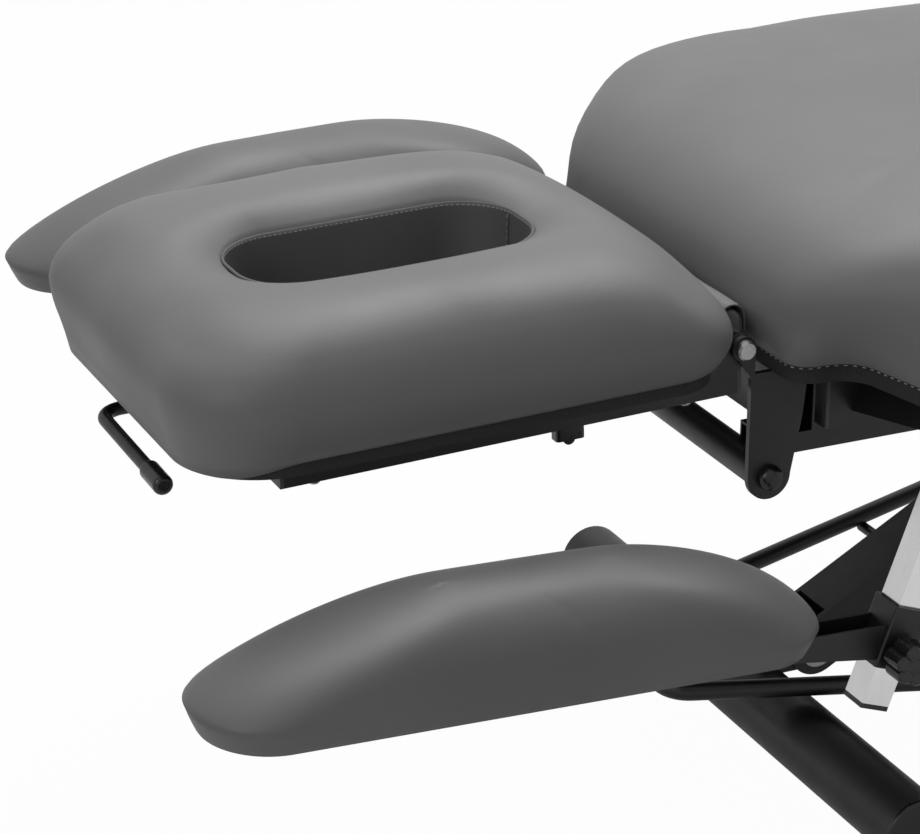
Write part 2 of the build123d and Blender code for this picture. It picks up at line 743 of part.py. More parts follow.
def build_head_top():
    """Board, cushion and slot lining of the head section."""
    corners, radii = head_outline()
    board = extrude(rounded_face(corners, radii, board_inset, head_cushion_half, head_rail_top),
                    amount=head_board_height)
    board -= slot_prism(liner_wall, (head_rail_top - overrun, head_board_top + overrun))
    notch = block((head_rail_end - ear_base_length - notch_gap, 0),
                  (rail_outer_y - plate - notch_gap, rail_outer_y + notch_gap),
                  (head_rail_top, head_board_top))
    board -= notch + mirrored(notch)
    save(on_head(board), "head_board")
    bottom = head_board_top + soft_gap
    shape = cushion(corners, radii, head_cushion_half, bottom, head_cushion_height, head_shares)
    slot_corners, slot_radii = slot_outline()
    crown = bottom + head_cushion_height
    rings = [
        rounded_face(slot_corners, slot_radii, -(liner_wall + flare * slot_rim_drop), slot_half,
                     crown - drop * slot_rim_drop)
        for drop, flare in slot_rim_shares
    ]
    shape -= slot_prism(liner_wall, (bottom - overrun, crown - slot_rim_drop)) + loft(rings)
    save(on_head(shape), "head_cushion")
    liner_top = crown - slot_rim_drop - soft_gap
    liner = slot_prism(liner_wall - soft_gap, (head_rail_top, liner_top))
    liner -= slot_prism(0, (head_rail_top - overrun, liner_top + overrun))
    save(on_head(liner), "face_slot_liner")


def build_main_top():
    """Board and cushion of the main section."""
    corners, radii = main_outline()
    board = extrude(rounded_face(corners, radii, board_inset, main_cushion_half, side_rail_top),
                    amount=main_board_height)
    notch = block(post_notch_x, (post_notch_y, main_cushion_half), (side_rail_top, main_board_top))
    board -= notch + mirrored(notch)
    save(board, "main_board")
    save(cushion(corners, radii, main_cushion_half, main_board_top + soft_gap, main_cushion_height,
                 main_shares), "main_cushion")


def build_flap():
    """A folded strip of cover that bridges the gap over the head hinge and bends with it."""
    half = flap_arch_half - flap_thickness / 2
    shoulder = flap_arch_top - flap_arch_half
    seat = board_inset - flap_thickness / 2 - soft_gap
    low_left = (head_cushion_end - seat, head_board_top - head_board_height / 2)
    low_right = (main_cushion_start + seat, main_board_top - head_board_height / 2)
    centre = Line(low_left, (-half, flap_leg_bend)) + Line((-half, flap_leg_bend), (-half, shoulder))
    centre += ThreePointArc((-half, shoulder), (0, flap_arch_top - flap_thickness / 2), (half, shoulder))
    centre += Line((half, shoulder), (half, flap_leg_bend)) + Line((half, flap_leg_bend), low_right)
    band = make_face(offset(centre, flap_thickness / 2, kind=Kind.INTERSECTION).edges())
    shape = side_plate(band, (-flap_half_width, flap_half_width))
    low, high = flap_slit
    slit = block((-2 * overrun, 2 * overrun), (low, high), (side_rail_top, flap_leg_bend + cap_depth))
    save(shape - slit - mirrored(slit), "hinge_flap")


def gas_lower():
    """The gas spring turns on the cross tube."""
    return (cross_tube_x, cross_tube_rise)


def gas_upper():
    """Place of the gas spring's upper pin when the head section rests."""
    return turned_point((gas_end_x, head_rail_top - gas_end_drop), hinge_x, hinge_rise, head_rest_tilt)


def along_gas_spring(shape):
    """Lays a shape drawn along +X on the line from the cross tube to the lug's pin."""
    (x0, z0), (x1, z1) = gas_lower(), gas_upper()
    slope = (Vector(x1, z1) - Vector(x0, z0)).get_angle(Vector(-1, 0))
    return Pos(x0, gas_y, z0) * Rot(0, slope, 0) * Rot(0, 0, 180) * shape


def build_gas_spring():
    """Cylinder with a collar round the cross tube, and the rod with its eye."""
    collar_y = (-gas_collar_width / 2, gas_collar_width / 2)
    tube_bore = bar_y(cross_tube_radius + running_fit, 0, 0, (-gas_collar_width, gas_collar_width))
    body = bar_x(gas_radius, 0, 0, (0, gas_length)) + bar_y(gas_collar_radius, 0, 0, collar_y) - tube_bore
    body -= bar_x(gas_rod_radius + running_fit, 0, 0, (gas_collar_radius + cap_depth, gas_length + overrun))
    save(along_gas_spring(body), "gas_spring_cylinder")
    (x0, z0), (x1, z1) = gas_lower(), gas_upper()
    span = (Vector(x1, z1) - Vector(x0, z0)).length
    bore_radius = gas_pin_radius + gas_slip
    eye_radius = bore_radius + gas_eye_wall
    eye_y = (-gas_eye_width / 2, gas_eye_width / 2)
    rod = bar_x(gas_rod_radius, 0, 0, (span - gas_rod_length, span - bore_radius))
    rod += bar_y(eye_radius, span, 0, eye_y)
    rod -= bar_y(bore_radius, span, 0, (-gas_collar_width, gas_collar_width))
    save(along_gas_spring(rod), "gas_spring_rod")


def build_release_handle():
    """The bent rod under the head section that frees the gas spring, its grip and its guides."""
    droop = radians(handle_droop)
    tip = (handle_corner_x, handle_y - handle_length * cos(droop), handle_rise - handle_length * sin(droop))
    corner = (handle_corner_x, handle_y, handle_rise)
    path = FilletPolyline((handle_inner_x, handle_y, handle_rise), corner, tip, radius=handle_bend)
    rod = sweep(Plane(path @ 0, z_dir=path % 0) * Circle(handle_radius), path=path)
    paddle = block((paddle_x, paddle_x + paddle_width), (handle_y, handle_y + paddle_length),
                   (handle_rise - paddle_thickness / 2, handle_rise + paddle_thickness / 2))
    save(on_head(rod + paddle), "release_rod")
    toward = Plane(tip, z_dir=path % 1)
    grip = toward * (Pos(0, 0, -grip_length / 2 + cap_depth) * Cylinder(grip_radius, grip_length))
    grip = fillet(grip.edges().filter_by(GeomType.CIRCLE), cap_depth)
    save(on_head(grip - rod), "release_grip")
    guides = []
    for x in guide_places:
        guide = block((x, x + guide_length), (handle_y - guide_half, handle_y + guide_half),
                      (handle_rise - guide_half, head_rail_top - head_member_height))
        beyond = (x - overrun, x + guide_length + overrun)
        guide -= bar_x(handle_radius + running_fit, handle_y, handle_rise, beyond)
        guides.append(guide)
    save(on_head(group(guides)), "release_guides")


def build_rail_fittings():
    """The roller latch and the small bolts under the near rail of the head section."""
    top = head_rail_top - tube_side
    y = -rail_outer_y + tube_side / 2
    length, width, height = latch_size
    across = (y - width / 2, y + width / 2)
    recess_y = (y - width / 4, y + width / 4)
    roller_y = (recess_y[0] + soft_gap, recess_y[1] - soft_gap)
    body = block((latch_x - length / 2, latch_x + length / 2), across, (top - height, top))
    recess = bar_y(latch_roller_radius + soft_gap, latch_x, top - height, recess_y)
    body = fillet(body.edges().filter_by(Axis.Z), width / 4) - recess
    roller = bar_y(latch_roller_radius, latch_x, top - height, roller_y)
    roller_pin = bar_y(latch_roller_radius / 3, latch_x, top - height + latch_roller_radius / 2, recess_y)
    save(on_head(group([body, roller + roller_pin])), "rail_latch")
    bolts = []
    for x in small_bolt_places:
        bolt = Pos(x, y, top - small_bolt_height / 2) * Cylinder(small_bolt_radius, small_bolt_height)
        bolts.append(chamfer(bolt.edges().sort_by(Axis.Z)[0], small_bolt_height / 4))
    save(on_head(group(bolts)), "rail_bolts")


def post_frame(shape):
    """Sets a shape drawn upright about the sleeve's centre at the post's lean, on the far side."""
    return Pos(sleeve_x, arm_y, sleeve_rise) * Rot(0, post_lean, 0) * shape


def build_posts():
    """Two leaning posts with their end caps, and the plates that hold them to the side rails."""
    half = tube_side / 2
    inner_half = half - tube_wall
    above = block((-main_cushion_half, main_cushion_half), (0, 2 * arm_y), (post_top, post_top + arm_y))
    posts, caps = [], []
    for flip, low in ((mirrored, -post_below_sleeve["near"]), (unchanged, -post_below_sleeve["far"])):
        tube = square_tube((-half, half), (-half, half), (low, post_above_sleeve + overrun), tube_wall, 2)
        cap = block((-half, half), (-half, half), (low - cap_depth, low))
        cap += block((-inner_half, inner_half), (-inner_half, inner_half), (low, low + overrun))
        posts.append(flip(post_frame(tube) - above))
        caps.append(flip(post_frame(cap)))
    save(group(posts), "armrest_posts")
    save(group(caps), "armrest_post_caps")
    rail_y, post_y = rail_outer_y - arm_y, -half
    top = (side_rail_top - sleeve_rise) / lean[1]
    face = Polyline((rail_y, top + overrun), (rail_y, top - bracket_rail_depth),
                    (post_y, top - bracket_post_depth), (post_y, top + overrun), close=True)
    web = Pos(-plate / 2, 0, 0) * extrude(Plane.YZ * make_face(face), amount=plate)
    over_rail = block((-main_cushion_half, main_cushion_half), (0, 2 * arm_y),
                      (side_rail_top, side_rail_top + arm_y))
    save(pair(post_frame(web) - over_rail), "armrest_post_brackets")


def armrest_place(side):
    """How far one armrest is drawn up its post, and the shift in X and Z that this gives."""
    slide = near_slide if side == "near" else far_slide
    return slide * lean[0], slide * lean[1]


def channel_line(x):
    """Height of the channel's rim and of the pad's underside before it is tilted."""
    return channel_rim + (sleeve_x - x) * tan(radians(channel_pitch))


def armrest_channel():
    """The folded channel from the sleeve to the pad: open on top, tapering to its tip."""
    half = tube_side / 2
    start = sleeve_x
    drop = (pad_pin_x - channel_end_x) * tan(radians(pad_tilt_most)) + channel_tip_clearance
    depths = ((start, channel_root_depth), (channel_knee_x, channel_knee_depth),
              (pad_pin_x, channel_tip_depth))
    rim = [(channel_end_x, channel_line(channel_end_x) - drop), (pad_pin_x, channel_line(pad_pin_x)),
           (start, channel_line(start))]
    tip = (channel_end_x, channel_line(channel_end_x) - channel_tip_depth + pad_tongue_half / 2)
    outer = rim + [(x, channel_line(x) - depth) for x, depth in depths] + [tip]
    inner_tip = (channel_end_x + channel_wall, channel_line(channel_end_x) - channel_tip_depth
                 + pad_tongue_half / 2 + channel_wall)
    inner_rim = [(channel_end_x + channel_wall, channel_line(channel_end_x)), (start, channel_line(start))]
    inner = inner_rim + [(x, channel_line(x) - depth + channel_wall) for x, depth in depths] + [inner_tip]
    shape = side_plate(make_face(Polyline(*outer, close=True)), (arm_y - half, arm_y + half))
    hollow = side_plate(make_face(Polyline(*inner, close=True)), (arm_y - half + channel_wall,
                                                                  arm_y + half - channel_wall))
    shape -= hollow
    sleeve_space = post_frame(block((-sleeve_side / 2, overrun * 3), (-sleeve_side, sleeve_side),
                                    (-overrun * 5, overrun * 5)))
    pin = bar_y(pad_pin_radius, pad_pin_x, channel_line(pad_pin_x) - pad_pin_depth,
                (arm_y - half, arm_y + half))
    return group([shape - sleeve_space - pin, pin])


def star_knob():
    """A lobed hand knob with its stem, drawn along +Y from the sleeve's outer face."""
    start = knob_stem_length
    reach = knob_radius - knob_lobe_radius
    lobe = Cylinder(knob_lobe_radius, knob_depth)
    lobe = chamfer(lobe.edges().sort_by(Axis.Z)[-1], knob_lobe_radius / 4)
    body = Cylinder(reach, knob_depth - knob_lobe_radius / 4)
    for i in range(knob_lobes):
        body += Rot(0, 0, 360 / knob_lobes * i) * Pos(reach, 0, 0) * lobe
    body = Pos(0, start + knob_depth / 2, 0) * Rot(-90, 0, 0) * body
    return body + bar_y(knob_stem_radius, 0, 0, (0, start))


def build_armrest(side):
    """One armrest: sleeve and channel, star knob, and the pad that tilts on the channel's pin."""
    dx, dz = armrest_place(side)
    tilt = pad_tilt_near if side == "near" else pad_tilt_far
    flip = mirrored if side == "near" else unchanged

    def placed(shape):
        return Pos(dx, 0, dz) * flip(shape)

    half = sleeve_side / 2
    bore = tube_side / 2 + sleeve_fit
    sleeve = block((-half, half), (-half, half), (-sleeve_half_length, sleeve_half_length))
    sleeve = fillet(sleeve.edges().filter_by(Axis.Z), tube_wall)
    through = (-sleeve_half_length - overrun, sleeve_half_length + overrun)
    sleeve -= block((-bore, bore), (-bore, bore), through)
    sleeve -= block((-sleeve_slot_half, sleeve_slot_half), (-sleeve_side, 0), through)
    save(placed(post_frame(sleeve)), side + "_armrest_sleeve")
    save(placed(armrest_channel()), side + "_armrest_channel")
    knob = Pos(0, half, -knob_drop) * star_knob()
    save(placed(post_frame(knob)), side + "_star_knob")

    pin_z = channel_line(pad_pin_x) - pad_pin_depth
    bottom = channel_line(pad_pin_x) + soft_gap

    def on_pad(shape):
        return placed(turned(shape, pad_pin_x, pin_z, tilt - channel_pitch))

    y0, y1 = arm_y - pad_half_width, arm_y + pad_half_width
    corners = [(pad_start, y0), (pad_end, y0), (pad_end, y1), (pad_start, y1)]
    radii = [pad_end_radius] * 4
    face = rounded_face(corners, radii, pad_board_inset, pad_half_width, bottom)
    board = extrude(face, amount=pad_board_height)
    tongue_y = (arm_y - pad_tongue_half, arm_y + pad_tongue_half)
    tongue = block((pad_pin_x - pad_tongue_length / 2, pad_pin_x + pad_tongue_length / 2), tongue_y,
                   (pin_z + pad_pin_radius, bottom))
    tongue += bar_y(pad_tongue_radius, pad_pin_x, pin_z, tongue_y)
    tongue -= bar_y(pad_pin_radius + running_fit, pad_pin_x, pin_z, (0, 2 * arm_y))
    save(on_pad(group([board, tongue])), side + "_pad_board")
    cushion_bottom = bottom + pad_board_height + soft_gap
    thick = pad_height - pad_board_height
    pad = cushion(corners, radii, pad_half_width, cushion_bottom, thick, pad_shares)
    save(on_pad(pad), side + "_pad_cushion")


def build_control_box():
    """The control box under the board and the inlet for the mains lead in its foot end."""
    x_range, y_range = (box_start, box_end), (-box_half, box_half)
    z_range = (side_rail_top - box_height, side_rail_top)
    shell = fillet(block(x_range, y_range, z_range).edges().filter_by(Axis.X), box_corner)
    inner = block((box_start + box_wall, box_end - box_wall), (-box_half + box_wall, box_half - box_wall),
                  (z_range[0] + box_wall, side_rail_top - box_wall))
    inlet_z = side_rail_top - box_height / 2
    opening = block((box_end - overrun, box_end + overrun), (-inlet_half, inlet_half),
                    (inlet_z - inlet_height / 2, inlet_z + inlet_height / 2))
    save(shell - inner - opening, "control_box")
    inlet = block((box_end - box_wall - inlet_depth, box_end), (-inlet_half, inlet_half),
                  (inlet_z - inlet_height / 2, inlet_z + inlet_height / 2))
    inside_half, inside_rise = inlet_half - inlet_wall, inlet_height / 2 - inlet_wall
    inlet -= block((box_end - inlet_depth, box_end + overrun), (-inside_half, inside_half),
                   (inlet_z - inside_rise, inlet_z + inside_rise))
    pin_x = (box_end - inlet_depth, box_end - inlet_depth + inlet_pin_length)
    for step in (-1, 0, 1):
        inlet += bar_x(inlet_pin_radius, step * inlet_half / 2, inlet_z, pin_x)
    save(inlet, "mains_inlet")


def save(shape, name):
    """Writes one piece, moved so that the origin lies under the middle of the table."""
    placed = Pos(-middle_x, 0, 0) * shape
    export_step(placed, "parts/" + name + ".step")


def build_table():
    os.makedirs("parts", exist_ok=True)
    build_base()
    build_lift()
    build_actuator()
    build_foot_bar()
    build_frame()
    build_hinge()
    build_head_frame()
    build_head_top()
    build_main_top()
    build_flap()
    build_gas_spring()
    build_release_handle()
    build_rail_fittings()
    build_posts()
    build_armrest("near")
    build_armrest("far")
    build_control_box()


build_table()
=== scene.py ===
import bmesh
import bpy
import json
import numpy as np
from math import cos, pi, radians, sin
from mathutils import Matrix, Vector


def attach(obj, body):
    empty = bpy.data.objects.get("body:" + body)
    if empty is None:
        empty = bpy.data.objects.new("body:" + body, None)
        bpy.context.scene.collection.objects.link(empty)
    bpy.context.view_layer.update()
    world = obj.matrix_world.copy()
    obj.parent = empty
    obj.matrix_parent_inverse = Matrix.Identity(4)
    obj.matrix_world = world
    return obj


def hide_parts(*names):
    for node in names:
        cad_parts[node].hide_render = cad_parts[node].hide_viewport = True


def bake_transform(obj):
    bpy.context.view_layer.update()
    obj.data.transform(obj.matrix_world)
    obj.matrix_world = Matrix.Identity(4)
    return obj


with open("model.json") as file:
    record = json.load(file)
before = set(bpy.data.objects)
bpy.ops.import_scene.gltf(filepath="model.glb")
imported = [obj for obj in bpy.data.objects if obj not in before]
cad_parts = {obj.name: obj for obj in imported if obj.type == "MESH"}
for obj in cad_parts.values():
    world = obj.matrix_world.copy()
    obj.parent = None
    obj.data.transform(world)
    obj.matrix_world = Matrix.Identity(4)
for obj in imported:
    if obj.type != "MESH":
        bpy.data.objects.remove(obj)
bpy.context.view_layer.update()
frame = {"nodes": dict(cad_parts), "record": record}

# Everything is in metres. X runs from the head end to the foot end, Y from near to far, Z up.
table = {
    "middleX": 0.4965,      # the table's middle, measured from the line of the head hinge
    "hingeX": 0.002,
    "hingeZ": 0.42898,
    "railTopZ": 0.40698,    # underside of the main board
    "headRailTopZ": 0.41598,
    "headTilt": 2.0,        # degrees
}


def atHinge(x):
    return x - table["middleX"]  # from the hinge line to the frame's X


def tilted(points, degrees, x, z):
    # Turns points about a line along Y through x, z: the foot side rises for a positive angle
    c, s = cos(radians(degrees)), sin(radians(degrees))
    across, up = points[..., 0] - x, points[..., 2] - z
    return np.stack([x + across * c - up * s, points[..., 1], z + across * s + up * c], axis=-1)


# The camera stands where the photo was taken from, seen from the hinge line; angles are in degrees
photo = {"width": 920, "focalPixels": 3100.0, "azimuth": 65.6, "down": 22.2,
         "place": (-1.1138, -2.0874, 1.2788), "sensor": 36.0}
camera = bpy.data.objects.new("tableCamera", bpy.data.cameras.new("tableCamera"))
bpy.context.scene.collection.objects.link(camera)
camera.data.sensor_width = photo["sensor"]
camera.data.lens = photo["focalPixels"] / photo["width"] * photo["sensor"]
camera.location = (atHinge(photo["place"][0]), photo["place"][1], photo["place"][2])
azimuth, down = radians(photo["azimuth"]), radians(photo["down"])
sight = Vector((cos(down) * cos(azimuth), cos(down) * sin(azimuth), -sin(down)))
camera.rotation_euler = sight.to_track_quat("-Z", "Y").to_euler()
bpy.context.scene.camera = camera
bpy.context.scene.view_settings.view_transform = "Standard"


# Materials. Every pattern reads the piece's own coordinates
def newMaterial(name):
    material = bpy.data.materials.new(name)
    material.use_nodes = True
    tree = material.node_tree
    shader = next(n for n in tree.nodes if n.type == "BSDF_PRINCIPLED")
    where = tree.nodes.new("ShaderNodeTexCoord")
    return material, tree, shader, where.outputs["Object"]


def addNode(tree, kind, source=None, **values):
    # One node; values name its inputs or its own settings, and source feeds its first vector input
    node = tree.nodes.new(kind)
    for key, value in values.items():
        if key in node.inputs:
            node.inputs[key].default_value = value
        else:
            setattr(node, key, value)
    if source is not None:
        tree.links.new(source, node.inputs["Vector"])
    return node


noiseMiddle = (0.3, 0.7)  # where nearly all of a noise's values lie


def spread(tree, value, low, high):
    # Stretches the middle of a noise over low to high, in a straight line
    node = addNode(tree, "ShaderNodeMapRange")
    tree.links.new(value, node.inputs["Value"])
    node.inputs["From Min"].default_value, node.inputs["From Max"].default_value = noiseMiddle
    node.inputs["To Min"].default_value = low
    node.inputs["To Max"].default_value = high
    return node.outputs["Result"]


def shade(tree, shader, noise, dark, light):
    # The base colour runs from dark to light with the noise
    node = addNode(tree, "ShaderNodeMix", data_type="RGBA")
    tree.links.new(spread(tree, noise.outputs["Fac"], 0, 1), node.inputs["Factor"])
    node.inputs["A"].default_value = (*dark, 1)
    node.inputs["B"].default_value = (*light, 1)
    tree.links.new(node.outputs["Result"], shader.inputs["Base Color"])


def bump(tree, shader, height, size, after=None):
    # Lifts the surface by the height: size is the bump's strength and its depth in metres
    node = addNode(tree, "ShaderNodeBump", Strength=size[0], Distance=size[1])
    tree.links.new(height, node.inputs["Height"])
    if after is not None:
        tree.links.new(after, node.inputs["Normal"])
    tree.links.new(node.outputs["Normal"], shader.inputs["Normal"])
    return node.outputs["Normal"]


vinylSurface = {"clouds": 5.0, "handled": 9.0, "grain": 620.0, "pebbles": 210.0, "rough": (0.47, 0.58),
                "grainBump": (0.10, 0.0004), "pebbleBump": (0.10, 0.0007),
                "shine": 0.38, "coat": 0.04, "coatRough": 0.35}
vinylShades = {
    "greyVinyl": ((0.128, 0.128, 0.130), (0.150, 0.150, 0.152)),
    # Pads: the same grey vinyl made darker, a painted shade so that the pads read as shaded
    "shadedPadVinyl": ((0.108, 0.108, 0.110), (0.128, 0.128, 0.130)),
    # Slot lining: the same grey vinyl made much darker, a painted shade of the slot's inside
    "shadedLiningVinyl": ((0.074, 0.074, 0.075), (0.092, 0.092, 0.093)),
}


def makeVinyl(name):
    # Coated cloth: slow shade changes, a pebbled grain in two sizes, and handled, slightly glossier places
    look = vinylSurface
    material, tree, shader, place = newMaterial(name)
    cloudy = addNode(tree, "ShaderNodeTexNoise", place, Scale=look["clouds"], Detail=4.0, Roughness=0.55)
    shade(tree, shader, cloudy, *vinylShades[name])
    handled = addNode(tree, "ShaderNodeTexNoise", place, Scale=look["handled"], Detail=3.0)
    tree.links.new(spread(tree, handled.outputs["Fac"], *look["rough"]), shader.inputs["Roughness"])
    cells = addNode(tree, "ShaderNodeTexVoronoi", place, Scale=look["grain"], feature="SMOOTH_F1")
    pebbles = addNode(tree, "ShaderNodeTexNoise", place, Scale=look["pebbles"], Detail=3.0, Roughness=0.6)
    first = bump(tree, shader, cells.outputs["Distance"], look["grainBump"])
    bump(tree, shader, pebbles.outputs["Fac"], look["pebbleBump"], first)
    shader.inputs["Specular IOR Level"].default_value = look["shine"]
    shader.inputs["Coat Weight"].default_value = look["coat"]
    shader.inputs["Coat Roughness"].default_value = look["coatRough"]
    return material


coatedSurface = {"clouds": 14.0, "wear": 38.0, "polished": 0.05, "dulled": 0.09, "bump": 0.22}
coatedLooks = {
    "greyThread": {"dark": (0.30, 0.30, 0.30), "light": (0.42, 0.42, 0.42),
                   "rough": 0.6, "peel": 2400.0, "depth": 0.0001},
    "blackPowderCoat": {"dark": (0.0050, 0.0050, 0.0054), "light": (0.0075, 0.0075, 0.0080),
                        "rough": 0.40, "peel": 1500.0, "depth": 0.00018},
    "blackPlastic": {"dark": (0.006, 0.006, 0.006), "light": (0.010, 0.010, 0.010),
                     "rough": 0.24, "peel": 900.0, "depth": 0.00005},
    "plugPlastic": {"dark": (0.045, 0.045, 0.046), "light": (0.075, 0.075, 0.077),
                    "rough": 0.5, "peel": 1100.0, "depth": 0.0001},
    "driveHousing": {"dark": (0.030, 0.030, 0.032), "light": (0.045, 0.045, 0.047),
                     "rough": 0.42, "peel": 1300.0, "depth": 0.00015},
    "footRubber": {"dark": (0.012, 0.012, 0.012), "light": (0.020, 0.020, 0.020),
                   "rough": 0.75, "peel": 700.0, "depth": 0.0002},
}


def makeCoated(name):
    # Powder coat or moulded plastic: an even colour over a fine orange-peel surface, worn here and there
    look = coatedLooks[name]
    material, tree, shader, place = newMaterial(name)
    cloudy = addNode(tree, "ShaderNodeTexNoise", place, Scale=coatedSurface["clouds"], Detail=5.0)
    shade(tree, shader, cloudy, look["dark"], look["light"])
    worn = addNode(tree, "ShaderNodeTexNoise", place, Scale=coatedSurface["wear"], Detail=6.0, Roughness=0.7)
    low, high = look["rough"] - coatedSurface["polished"], look["rough"] + coatedSurface["dulled"]
    tree.links.new(spread(tree, worn.outputs["Fac"], low, high), shader.inputs["Roughness"])
    peel = addNode(tree, "ShaderNodeTexNoise", place, Scale=look["peel"], Detail=2.0)
    bump(tree, shader, peel.outputs["Fac"], (coatedSurface["bump"], look["depth"]))
    return material


metalSurface = {"smudges": 22.0, "roughShares": (0.8, 1.5), "bump": (0.08, 0.0002)}
metalLooks = {
    "brightPlate": {"dark": (0.80, 0.80, 0.81), "light": (0.84, 0.84, 0.85), "rough": 0.15,
                    "lines": (120.0, 300.0, 30.0)},
    "zincPlate": {"dark": (0.36, 0.36, 0.36), "light": (0.48, 0.48, 0.47), "rough": 0.22,
                  "lines": (500.0, 60.0, 500.0)},
    "polishedRod": {"dark": (0.70, 0.70, 0.71), "light": (0.80, 0.80, 0.81), "rough": 0.10,
                    "lines": (40.0, 700.0, 700.0)},
}


def makeMetal(name):
    # Bright metal with hair-fine lines drawn along the axis of the lowest line scale, and smudges
    look = metalLooks[name]
    material, tree, shader, place = newMaterial(name)
    shader.inputs["Metallic"].default_value = 1.0
    along = addNode(tree, "ShaderNodeMapping", place)
    along.inputs["Scale"].default_value = look["lines"]
    drawn = along.outputs["Vector"]
    lines = addNode(tree, "ShaderNodeTexNoise", drawn, Scale=1.0, Detail=4.0, Roughness=0.65)
    smudges = addNode(tree, "ShaderNodeTexNoise", place, Scale=metalSurface["smudges"], Detail=3.0)
    shade(tree, shader, lines, look["dark"], look["light"])
    low, high = (look["rough"] * share for share in metalSurface["roughShares"])
    tree.links.new(spread(tree, smudges.outputs["Fac"], low, high), shader.inputs["Roughness"])
    bump(tree, shader, lines.outputs["Fac"], metalSurface["bump"])
    return material


boardLook = {"dark": (0.010, 0.010, 0.011), "light": (0.024, 0.024, 0.025), "fibres": 480.0, "rough": 0.88,
             "bump": (0.3, 0.0005)}


def makeBoard(name):
    # Plywood covered with thin black felt-like cloth
    material, tree, shader, place = newMaterial(name)
    fibres = addNode(tree, "ShaderNodeTexNoise", place, Scale=boardLook["fibres"], Detail=4.0, Roughness=0.8)
    shade(tree, shader, fibres, boardLook["dark"], boardLook["light"])
    shader.inputs["Roughness"].default_value = boardLook["rough"]
    bump(tree, shader, fibres.outputs["Fac"], boardLook["bump"])
    return material


vinyl, shadedPadVinyl, shadedLiningVinyl = (makeVinyl(name) for name in vinylShades)
coats = [makeCoated(name) for name in coatedLooks]
thread, blackSteel, blackPlastic, palePlastic, driveHousing, rubber = coats
brightPost, zincPlate, polishedRod = (makeMetal(name) for name in metalLooks)
board = makeBoard("coveredBoard")

finishes = {
    "vinyl": vinyl, "slot_lining": shadedLiningVinyl, "black_board": board, "black_steel": blackSteel,
    "bright_post": brightPost, "zinc": zincPlate, "black_plastic": blackPlastic, "pale_plastic": palePlastic,
    "rubber_foot": rubber, "grey_metal": driveHousing, "polished_rod": polishedRod,
}
for part in frame["record"]["subparts"]:
    target = frame["nodes"][part["node"]]
    material = finishes[part["material_slot"]]
    if not target.material_slots:
        target.data.materials.append(material)
    for place in target.material_slots:
        place.material = material
print("camera and materials ready")


# Surfaces. A surface is a grid of points, rows by columns, whose columns close into rings
def gridFaces(rows, columns, closeRows=False, closeColumns=True):
    # Quads of a rows by columns grid as one index array; closed directions wrap round
    down = np.arange(rows if closeRows else rows - 1)
    over = np.arange(columns if closeColumns else columns - 1)
    r, c = np.meshgrid(down, over, indexing="ij")
    r2, c2 = (r + 1) % rows, (c + 1) % columns
    quads = np.stack([r * columns + c, r * columns + c2, r2 * columns + c2, r2 * columns + c], axis=-1)
    return quads.reshape(-1, 4)


decimals = 7


def meshPiece(name, points, faces, material, weld=0.0):
    # A finished mesh at the origin, smooth shaded, its doubles merged where the surface closes on itself.
    # Points are rounded, so that the last digits of a sum don't change which doubles merge first
    mesh = bpy.data.meshes.new(name)
    mesh.from_pydata(points.reshape(-1, 3).round(decimals).tolist(), [], faces.tolist())
    piece = bpy.data.objects.new(name, mesh)
    bpy.context.scene.collection.objects.link(piece)
    work = bmesh.new()
    work.from_mesh(mesh)
    if weld:
        bmesh.ops.remove_doubles(work, verts=work.verts, dist=weld)
    bmesh.ops.recalc_face_normals(work, faces=work.faces)
    work.to_mesh(mesh)
    work.free()
    mesh.shade_smooth()
    mesh.materials.append(material)
    return piece


def clothSheet(name, points, faces, material, thick):
    # A thin sheet with its thickness shared between both sides
    piece = meshPiece(name, points, faces, material)
    wall = piece.modifiers.new("cloth", "SOLIDIFY")
    wall.thickness = thick
    wall.offset = 0.0
    return piece


def unit(vectors):
    return vectors / np.linalg.norm(vectors, axis=1)[:, None]


def lengthsAlong(line):
    # The way from a line's first point to each of its points, summed over its straight pieces
    return np.concatenate([[0], np.cumsum(np.linalg.norm(np.diff(line, axis=0), axis=1))])


def sideDirections(corners):
    # Directions of the two sides that meet at each corner
    return unit(corners - np.roll(corners, 1, axis=0)), unit(np.roll(corners, -1, axis=0) - corners)


arcPoints = 33


def roundedOutline(corners, radii, count):
    # A closed line with a circular arc at each corner: the arc's tangent length is the radius times the
    # tangent of half the turn. Count points lie at even distances along it, from the middle of its last
    # straight on, so that a form with two like sides gets its points in mirrored pairs
    corners = np.array(corners, float)
    before, after = sideDirections(corners)
    turn = np.arctan2(before[:, 0] * after[:, 1] - before[:, 1] * after[:, 0], (before * after).sum(1))
    radii = np.array(radii, float)
    start = corners - before * np.abs(radii * np.tan(turn / 2))[:, None]
    side = np.sign(turn)[:, None] * np.stack([-before[:, 1], before[:, 0]], axis=1)
    centre = start + side * radii[:, None]
    angle = turn[:, None] * np.linspace(0, 1, arcPoints)[None, :]
    spoke = start - centre
    c, s = np.cos(angle), np.sin(angle)
    arc = np.stack([centre[:, None, 0] + spoke[:, None, 0] * c - spoke[:, None, 1] * s,
                    centre[:, None, 1] + spoke[:, None, 0] * s + spoke[:, None, 1] * c], axis=-1)
    line = arc.reshape(-1, 2)
    line = np.vstack([line, line[:1]])
    along = lengthsAlong(line)
    keep = np.concatenate([[True], np.diff(along) > 1e-9])
    want = (np.linspace(0, along[-1], count, endpoint=False) - (along[-1] - along[-2]) / 2) % along[-1]
    return np.stack([np.interp(want, along[keep], line[keep, i]) for i in (0, 1)], axis=1)


